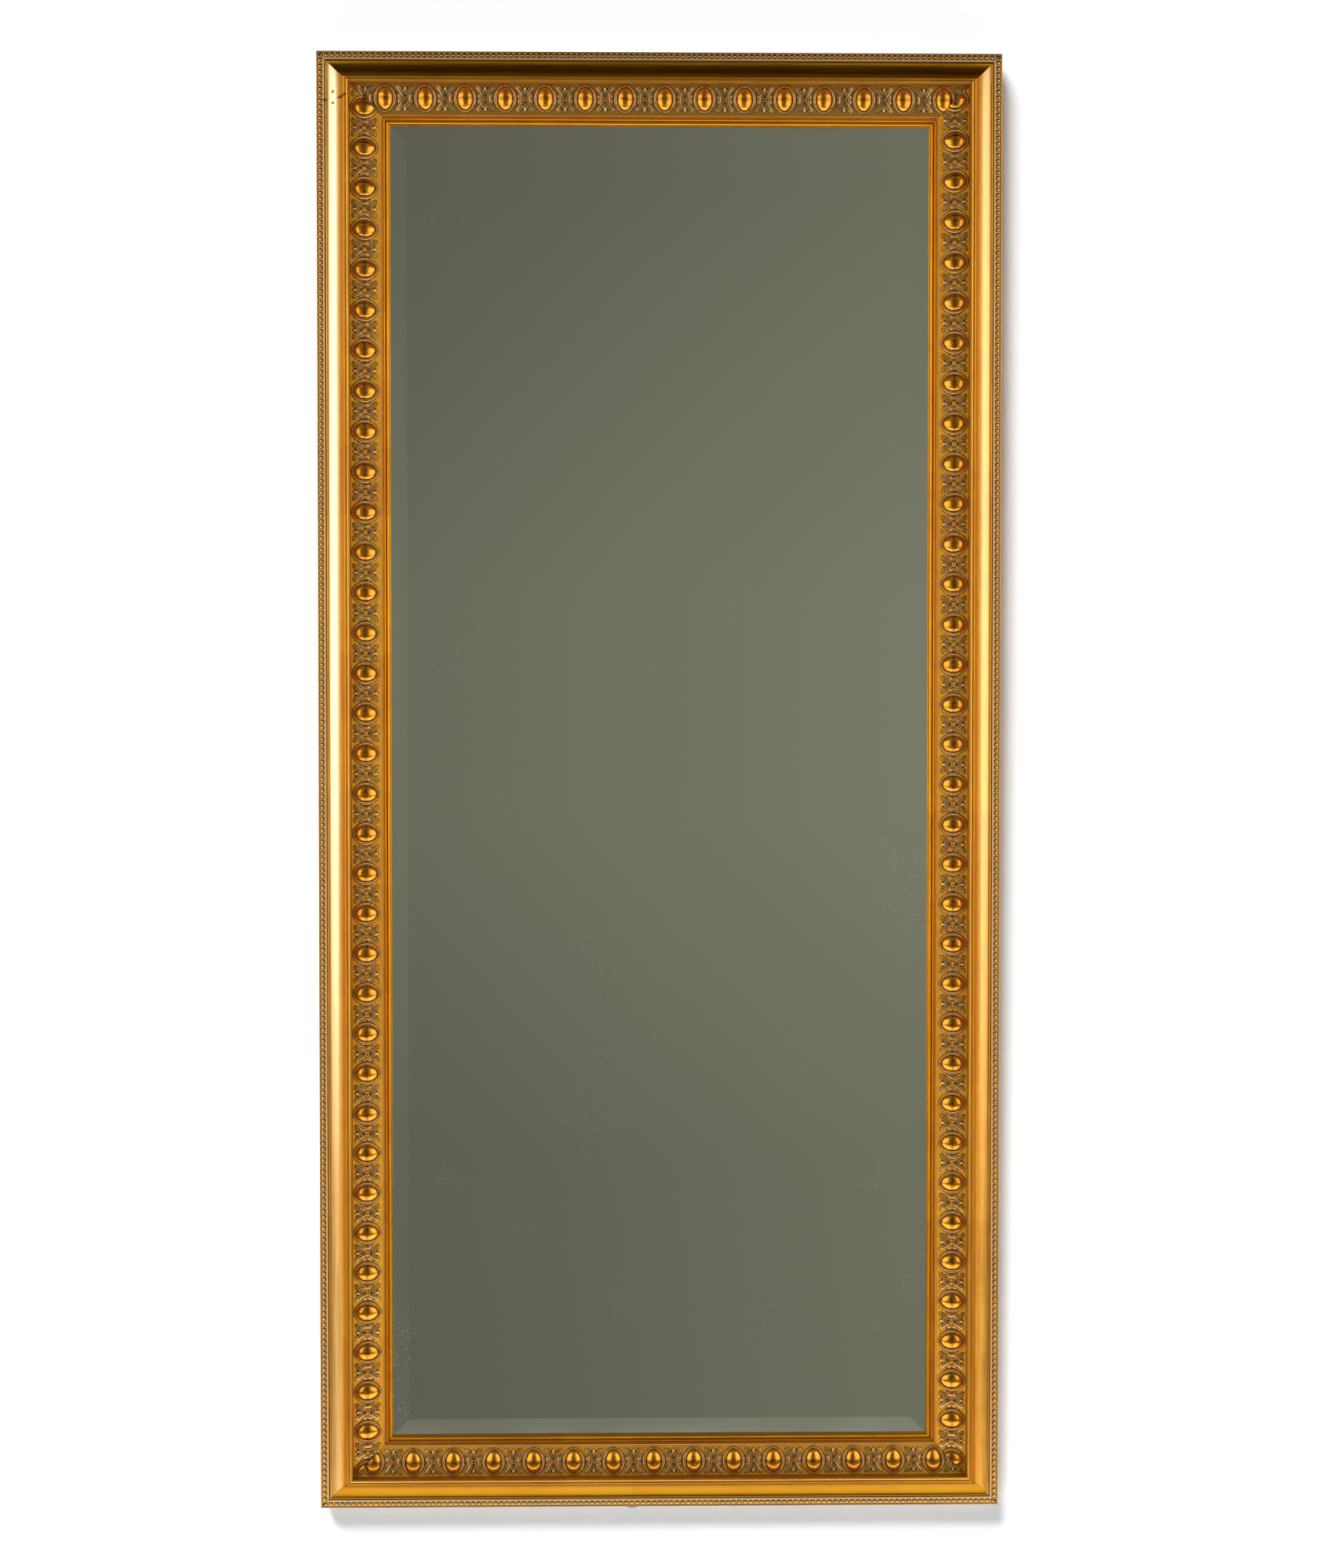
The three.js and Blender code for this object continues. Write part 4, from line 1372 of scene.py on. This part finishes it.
@dataclass
class Fittings:
    """The hangers, corner plates, screws, bumpers and glide."""

    steel: Material
    plate_edge: float = 18.0
    plate_reach: float = 80.0
    plate_width: float = 16.0
    thickness: float = 1.5
    screw_places: tuple = ((68.0, 26.0), (26.0, 68.0))
    screw_level: float = 2.1
    hanger: Point = (362.05, -342.05)
    eye_level: float = 4.0156
    eye_radius: float = 2.25
    strap_half: float = 8.0
    strap_end: float = 62.0
    strap_drops: Point = (34.0, 52.0)
    wire_radius: float = 1.7
    ring_inner: float = 13.0
    ring_drop: float = 22.0
    bumper: Point = (260.0, 40.0)
    glide_place: Point = (-32.4, -9.6)

    @staticmethod
    def backwards(x: float, y: float, z: float) -> Matrix:
        """The place of a shape whose +z points back to the wall."""
        return at(x, y, z) @ turn(-QUARTER, "X")

    def screw(self) -> BMesh:
        """A slotted screw whose head stands on z = 0.

        Returns:
            The mesh.
        """
        head = arc((0, -1.2), (3.6, 3.4), 110, 180, 6)[:-1]
        bm = turned([(0.0, -14.5), (1.5, -12.0), (1.6, 0.0), (3.45, 0.0), *head, (0.0, 2.2)], 24)
        for side in (0.42, -0.42):
            bmesh.ops.bisect_plane(bm, geom=everything(bm), dist=1e-4, plane_co=(side, 0, 0), plane_no=(1, 0, 0))
        slot = [f for f in bm.faces if abs(f.calc_center_median().x) < 0.4 and f.calc_center_median().z > 0.3]
        for vert in only(BMVert, bmesh.ops.extrude_face_region(bm, geom=slot)["geom"]):
            vert.co.z = min(vert.co.z, 1.0)
        bmesh.ops.delete(bm, geom=slot, context="FACES")
        return bm

    def screws(self, rng: random.Random) -> None:
        """Makes all twelve screws, each with its slot at a turn of its own.

        Args:
            rng: where the turn of each slot comes from.
        """
        spots = [
            (f"corner_screw_{key}", sx * (OUTER.half_width - u), OUTER.middle + sz * (OUTER.half_height - v))
            for key, (sx, sz, _) in CORNERS.items()
            for u, v in self.screw_places
        ]
        for hand, sx in HANDS.items():
            spots += [(f"hanger_screw_{hand}", sx * self.hanger[0], self.hanger[1] - d) for d in self.strap_drops]
        for stem, x, z in spots:
            middle = Vector((x, self.screw_level, z)) * MM
            near = {n: (sum(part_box(n), Vector()) / 2 - middle).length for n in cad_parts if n.startswith(stem)}
            solid = min(near, key=near.get)
            place = self.backwards(x, self.screw_level, z) @ turn(rng.uniform(0, math.pi), "Z")
            name = solid.replace("screw", "slotted_screw")
            show(self.screw(), name, "zinc_plated_steel", solid, place, self.steel)

    def corner_plates(self) -> None:
        """Makes the four corner plates, with rounded ends."""
        near, far, inner = self.plate_edge, self.plate_reach, self.plate_edge + self.plate_width
        outline = ((near, -near), (near, -far), (inner, -far), (inner, -inner), (far, -inner), (far, -near))
        for key in ("top_left", "top_right", "bottom_right", "bottom_left"):
            sx, sz, degrees = CORNERS[key]
            bm = raised([(x, y, 0) for x, y in outline], (0, 0, self.thickness))
            bevel(bm, [e for e in bm.edges if abs(e.verts[0].co.z - e.verts[1].co.z) > 1], 3.0, 5)
            soften(bm, 0.25, 60)
            corner = at(sx * OUTER.half_width, OUTER.fit_gap, OUTER.middle + sz * OUTER.half_height)
            place = corner @ turn(math.radians(degrees), "Y") @ turn(QUARTER, "X") @ at(0, 0, -self.thickness)
            show(bm, f"mitre_plate_{key}", "zinc_plated_steel", f"corner_plate_{key}", place, self.steel)

    def hangers(self) -> None:
        """Makes both straps and their D-rings."""
        zinc, x, z = "zinc_plated_steel", *self.hanger
        for hand, sx in HANDS.items():
            place, eye = self.backwards(sx * x, 0, z), self.backwards(sx * x, self.eye_level, z)
            show(self.strap(), f"strap_{hand}", zinc, f"hanger_strap_{hand}", place, self.steel)
            ring, solid = f"d_ring_{hand}", f"hanger_ring_{hand}"
            show(self.ring(), ring, zinc, solid, eye, self.steel, body=f"ring_{hand}", crease=60)

    def strap(self) -> BMesh:
        """A strap with a rolled eye round the x axis, hanging down along +y and lying on the back.

        Returns:
            The mesh.
        """
        eye, inner, gap, half, end = self.eye_level, self.eye_radius, OUTER.fit_gap, self.strap_half, self.strap_end
        outer = inner + self.thickness
        loop = arc((0, eye), (outer, outer), 0, -270, 18) + [(0.6, eye + outer), (0.6, eye + inner)]
        loop += arc((0, eye), (inner, inner), -270, 0, 18)[:-1]
        section = [(end, gap), *loop, (0.0, eye - inner), (end, gap + self.thickness)]
        bm = raised([(-half, y, z) for y, z in section], (2 * half, 0, 0))
        tips = [e for e in bm.edges if all(v.co.y > end - 0.01 for v in e.verts) and e.calc_length() < 3]
        bevel(bm, tips, 6.0, 6)
        return bm

    def ring(self) -> BMesh:
        """A D-ring of round wire with its bar on the x axis, hanging along +y.

        Returns:
            The mesh.
        """
        half = self.ring_inner + self.wire_radius
        straight = self.ring_drop - self.ring_inner + self.wire_radius
        path = [(-half + 2.4, 0.0), (half - 2.4, 0.0), (half - 0.7, 0.7), (half, 2.4)]
        path += arc((0, straight), (half, -half), 90, -90, 16) + [(-half, 2.4), (-half + 0.7, 0.7)]
        bm = bmesh.new()
        loops = []
        up = Vector((0, 0, 1))
        for i, (x, y) in enumerate(path):
            (xa, ya), (xb, yb) = path[i - 1], path[(i + 1) % len(path)]
            ahead = Vector((xb - xa, yb - ya, 0)).normalized()
            stand = Matrix((ahead.cross(up), up, ahead)).transposed().to_4x4()
            made = bmesh.ops.create_circle(bm, segments=12, radius=self.wire_radius)["verts"]
            bmesh.ops.transform(bm, verts=made, matrix=at(x, y, 0) @ stand)
            loops.append(list({e for v in made for e in v.link_edges}))
        for before, after in zip(loops, loops[1:] + loops[:1]):
            bmesh.ops.bridge_loops(bm, edges=before + after)
        return bm

    def bumpers(self, rubber: Material) -> None:
        """Makes the two rubber bumpers of a finish.

        Args:
            rubber: their finish.
        """
        profile = [(0.0, 0.3), (8.4, 0.3), (9.0, 0.8), (8.7, 4.0), (7.9, 7.2), (7.0, 8.1), (6.0, 8.3), (2.6, 8.3)]
        for hand, sx in HANDS.items():
            place = self.backwards(sx * self.bumper[0], 0, OUTER.middle + self.bumper[1] - OUTER.half_height)
            bm = turned([*profile, (2.2, 7.4), (0.0, 7.3)], 32)
            show(bm, f"bumper_{hand}", "black_rubber", f"wall_bumper_{hand}", place, rubber)

    def glide(self, iron: Material) -> None:
        """Makes the domed glide under the bottom edge, of a finish.

        Args:
            iron: its finish.
        """
        bm = turned([(0.0, -14.0), (1.3, -12.7), (1.3, 0.3), *arc((0, 0.3), (9.0, -2.9), 90, 0, 8)], 32)
        place = at(*self.glide_place, OUTER.middle - OUTER.half_height) @ turn(math.pi, "X")
        show(bm, "domed_glide", "dark_steel", "bottom_glide", place, iron)


# ---------------------------------------------------------------- studio


def facing(way: Sequence[float]) -> Euler:
    """The turn of a lamp or a camera that looks one way."""
    return Vector(way).to_track_quat("-Z", "Y").to_euler()


@dataclass
class Studio:
    """The wall behind the mirror, the floor, the dark room round them, the lamps and the camera."""

    wall_place: float = 0.0095
    floor_level: float = -2.35
    paint: Triple = (0.84, 0.86, 0.88)
    camera_place: Triple = (-0.0722, -3.5, -0.7137)
    camera_aim: Triple = (0.0027, 0.0, -0.8156)
    lens: float = 68.14
    cloth_tint: Triple = (1.21, 1.2342, 0.9317)
    cloth_across: tuple = ((-1.9, 0.18), (-0.7, 0.16), (0.1, 0.19), (0.9, 0.22), (2.1, 0.22))
    cloth_up: tuple = ((-4.3, 1.03), (-3.2, 0.78), (-2.2, 0.80), (-1.1, 1.0), (-0.4, 1.0), (0.9, 0.77))
    cloth_reach: float = 5.0
    side_light: Triple = (0.42, 0.40, 0.36)
    floor_light: Triple = (0.37, 0.32, 0.25)
    top_light: Triple = (0.30, 0.29, 0.27)
    flag_dark: Triple = (0.012, 0.01, 0.008)
    softboxes: tuple = (
        ("softbox_left", (-1.47, -1.25, -0.45), (1.87, 2.05), 21.0),
        ("softbox_right", (1.47, -1.25, -0.45), (1.87, 2.05), 19.5),
        ("softbox_rear", (0.9, 2.6, 0.5), (2.0, 2.0), 60.0),
    )
    window_power: float = 6.6
    window_size: float = 29.0
    window_way: Triple = (0.6, 1.0, -1.5)

    def stage(self, name: str, bm: BMesh, finish: Material, *hidden_from: str) -> bpy.types.Object:
        """Makes a mesh in metres a piece of the stage.

        Args:
            name: its name.
            bm: the mesh. It is used up.
            finish: its material.
            hidden_from: the kinds of ray that don't see it.

        Returns:
            The piece.
        """
        mesh = shape_of(bm, name)
        mesh.materials.append(finish)
        piece = put_in_scene(name, mesh)
        for kind in hidden_from:
            setattr(piece, "visible_" + kind, False)
        return piece

    def sheet(self, *corners: Triple) -> BMesh:
        """A flat sheet through some corners.

        Args:
            corners: the corners, in order.

        Returns:
            The mesh.
        """
        bm = bmesh.new()
        bm.faces.new([bm.verts.new(c) for c in corners])
        return bm

    def box(self, low: Triple, high: Triple) -> BMesh:
        """A box between its low and its high corner.

        Args:
            low: the low corner.
            high: the high corner.

        Returns:
            The mesh.
        """
        bm = bmesh.new()
        bmesh.ops.create_cube(bm, size=1.0)
        bm.transform(at(*(Vector(high) + Vector(low)) / 2) @ scaled(*(Vector(high) - Vector(low))))
        return bm

    def white(self, name: str, one_sided: bool, glow: float) -> Material:
        """A white surface that keeps shadows, with a little glow of its own for the camera.

        Args:
            name: the material's name.
            one_sided: whether it is clear from behind.
            glow: how much the glow adds.

        Returns:
            The material.
        """
        b = Bench(name)
        path = b.node("LightPath")
        seen = b.most(path["Is Camera Ray"], path["Is Glossy Ray"], path["Is Transmission Ray"])
        lit = b.node("Emission", Strength=b.times(seen, glow))[0]
        shader = b.node("AddShader", b.node("BsdfDiffuse", self.paint)[0], lit)[0]
        if one_sided:
            behind = b.node("NewGeometry")["Backfacing"]
            shader = b.node("MixShader", behind, shader, b.node("BsdfTransparent")[0])[0]
        return b.end(shader)

    def cloth(self) -> Material:
        """The dim room: grey in front of the mirror, warmer and brighter at the sides, dark overhead.

        Returns:
            The material.
        """
        b = Bench("room_cloth")
        x, y, z = b.split(b.place())
        reach = self.cloth_reach
        across, up = (
            b.ramp(
                b.maths("DIVIDE", b.plus(place, reach), 2 * reach),
                [((spot + reach) / (2 * reach), (level / 1.1,) * 3) for spot, level in levels],
            )
            for place, levels in ((x, self.cloth_across), (z, self.cloth_up))
        )
        colour = b.blend(1.0, b.blend(1.0, across, up, "MULTIPLY"), self.cloth_tint, "MULTIPLY")
        aside = b.span(y, -5.98, -5.9)
        colour = b.blend(aside, colour, self.side_light)
        colour = b.blend(b.times(aside, b.span(z, -4.75, -3.6, 1.0, 0.0)), colour, self.floor_light)
        colour = b.blend(b.times(aside, b.span(z, 2.6, 3.1)), colour, self.top_light)
        return b.end(b.node("Emission", colour)[0])

    def build(self) -> None:
        """Makes the wall, the floor, the room, the lamps and the world."""
        w, h, y, low = 2.6, 1.6, self.wall_place, self.floor_level
        upright = self.sheet((-w, y, low), (w, y, low), (w, y, h), (-w, y, h))
        wall = self.stage("wall", upright, self.white("white_wall", True, 0.03), "shadow", "diffuse")
        level = self.sheet((-w, -h, low), (w, -h, low), (w, w, low), (-w, w, low))
        floor = self.stage("floor", level, self.white("white_floor", False, 0.2))
        room = self.stage("room", self.box((-6.0, -6.0, -4.8), (6.0, 6.0, 3.2)), self.cloth(), "camera", "shadow")
        b = Bench("dark_flag")
        dark = b.end(b.node("Emission", self.flag_dark)[0])
        self.stage("flag", self.box((-0.6, -0.15, 0.065), (0.6, 0.0, 0.07)), dark, "camera", "shadow", "diffuse")
        self.lamps(wall, floor, room)
        world = bpy.data.worlds.new("studio")
        bpy.context.scene.world = world
        world.use_nodes = True
        nodes = world.node_tree.nodes
        nodes["Background"].inputs["Color"].default_value = (1, 1, 1, 1)
        seen = nodes.new("ShaderNodeLightPath").outputs["Is Camera Ray"]
        world.node_tree.links.new(seen, nodes["Background"].inputs["Strength"])
        bpy.context.scene.view_settings.view_transform = "Standard"

    def lamps(self, wall: bpy.types.Object, floor: bpy.types.Object, room: bpy.types.Object) -> None:
        """Hangs the lamps.

        Args:
            wall: the wall, which only the window lamp lights.
            floor: the floor, which it lights too.
            room: the room, whose glow spares the wall.
        """
        sun = bpy.data.lights.new("window", "SUN")
        sun.energy = self.window_power
        sun.angle = math.radians(self.window_size)
        window = put_in_scene("window", sun)
        window.rotation_euler = facing(self.window_way)
        self.link_light([window], "INCLUDE", wall, floor)
        self.link_light([self.softbox(*box) for box in self.softboxes], "EXCLUDE", wall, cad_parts["mirror_plate"])
        self.link_light([room], "EXCLUDE", wall)

    def link_light(self, lamps: Sequence[bpy.types.Object], state: str, *lit: bpy.types.Object) -> None:
        """Says what some lamps light, or spare.

        Args:
            lamps: the lamps.
            state: INCLUDE or EXCLUDE.
            lit: the objects.
        """
        group = bpy.data.collections.new(state.lower())
        for piece in lit:
            group.objects.link(piece)
        for lamp in lamps:
            lamp.light_linking.receiver_collection = group
        for member in group.collection_objects:
            member.light_linking.link_state = state

    def softbox(self, name: str, place: Triple, size: Point, power: float) -> bpy.types.Object:
        """A soft rectangular lamp aimed at the frame's middle.

        Args:
            name: its name.
            place: where it hangs, in metres.
            size: its width and height in metres.
            power: its power in watts.

        Returns:
            The lamp.
        """
        light = bpy.data.lights.new(name, "AREA")
        light.shape = "RECTANGLE"
        light.size, light.size_y = size
        light.energy = power
        lamp = put_in_scene(name, light)
        lamp.location = place
        lamp.rotation_euler = facing((-place[0], -place[1], 0))
        lamp.visible_camera = False
        return lamp

    def camera(self) -> None:
        """Sets up the camera at the photograph's viewpoint."""
        data = bpy.data.cameras.new("camera")
        data.lens = self.lens
        data.sensor_width = 36.0
        camera = put_in_scene("camera", data)
        camera.location = self.camera_place
        camera.rotation_euler = facing(Vector(self.camera_aim) - Vector(self.camera_place))
        bpy.context.scene.camera = camera


# ---------------------------------------------------------------- the whole mirror


def dress_solids(steel: Material) -> None:
    """Gives the solids that stay in sight their finishes; the points and nails get the steel.

    Args:
        steel: the finish of steel pieces.
    """
    board = Grained("hardboard", (0.30, 0.17, 0.085), (0.2, 0.105, 0.05), (14.0, 14.0, 5.0), 700.0)
    card = Grained("grey_card", (0.34, 0.32, 0.27), (0.22, 0.2, 0.17), (30.0, 30.0, 30.0), 1200.0)
    cork = Grained("cork", (0.48, 0.29, 0.14), (0.2, 0.1, 0.045), (300.0, 300.0, 300.0), 900.0, depth=0.3)
    parts = {"mirror_plate": Silvering(), "backing_board": board, "barrier_card": card, "block": cork}
    finishes = {part: finish.material() for part, finish in parts.items()}
    for name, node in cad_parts.items():
        if not node.hide_render:
            finish = next((finishes[part] for part in finishes if part in name), steel)
            node.data.materials.clear()
            node.data.materials.append(finish)
            LOG.info("%s: %s", name, finish.name)


RUNS = {
    Side.LEFT: (1.0, 0.0, 46.9, -10.4, 0.0),
    Side.RIGHT: (0.4, 0.0, 46.9, 0.0, 0.0),
    Side.TOP: (0.0, 0.35, 46.4, 5.5, 0.85),
    Side.BOTTOM: (0.0, 0.75, 47.15, 7.7, 0.35),
}
# Each side's painted cove highlight and painted shade, and its ornament's pitch, start and painted shade.
"""Each side's burnish and dusk, and its ornament's pitch, start and dusk."""


def main() -> None:
    """Builds the mirror and its studio."""
    logging.basicConfig(level=logging.INFO, format="%(name)s %(message)s")
    rng = random.Random(7)
    studio = Studio()
    studio.camera()
    makers = (MouldingGilding(), FlatSawn(), BeadGilding(), OrnamentGilding(), Rubber())
    gilding, bare, beads, ornament, rubber = (maker.material() for maker in makers)
    steel = Metal("zinc_plated_steel", (0.66, 0.66, 0.64), (0.36, 0.34, 0.31), 0.3).material()
    iron = Metal("dark_steel", (0.16, 0.155, 0.15), (0.07, 0.05, 0.04), 0.4).material()
    for side, (cove_highlight, side_shade, pitch, start, ornament_side_shade) in RUNS.items():
        Moulding(side, cove_highlight, side_shade).build(gilding, bare)
        Beading(side).build(beads)
        EggAndLeaf(side, pitch, start, ornament_side_shade).build(ornament, rng)
    fittings = Fittings(steel)
    fittings.screws(rng)
    fittings.corner_plates()
    fittings.hangers()
    fittings.bumpers(rubber)
    fittings.glide(iron)
    dress_solids(steel)
    studio.build()


if __name__ == "__main__":
    main()
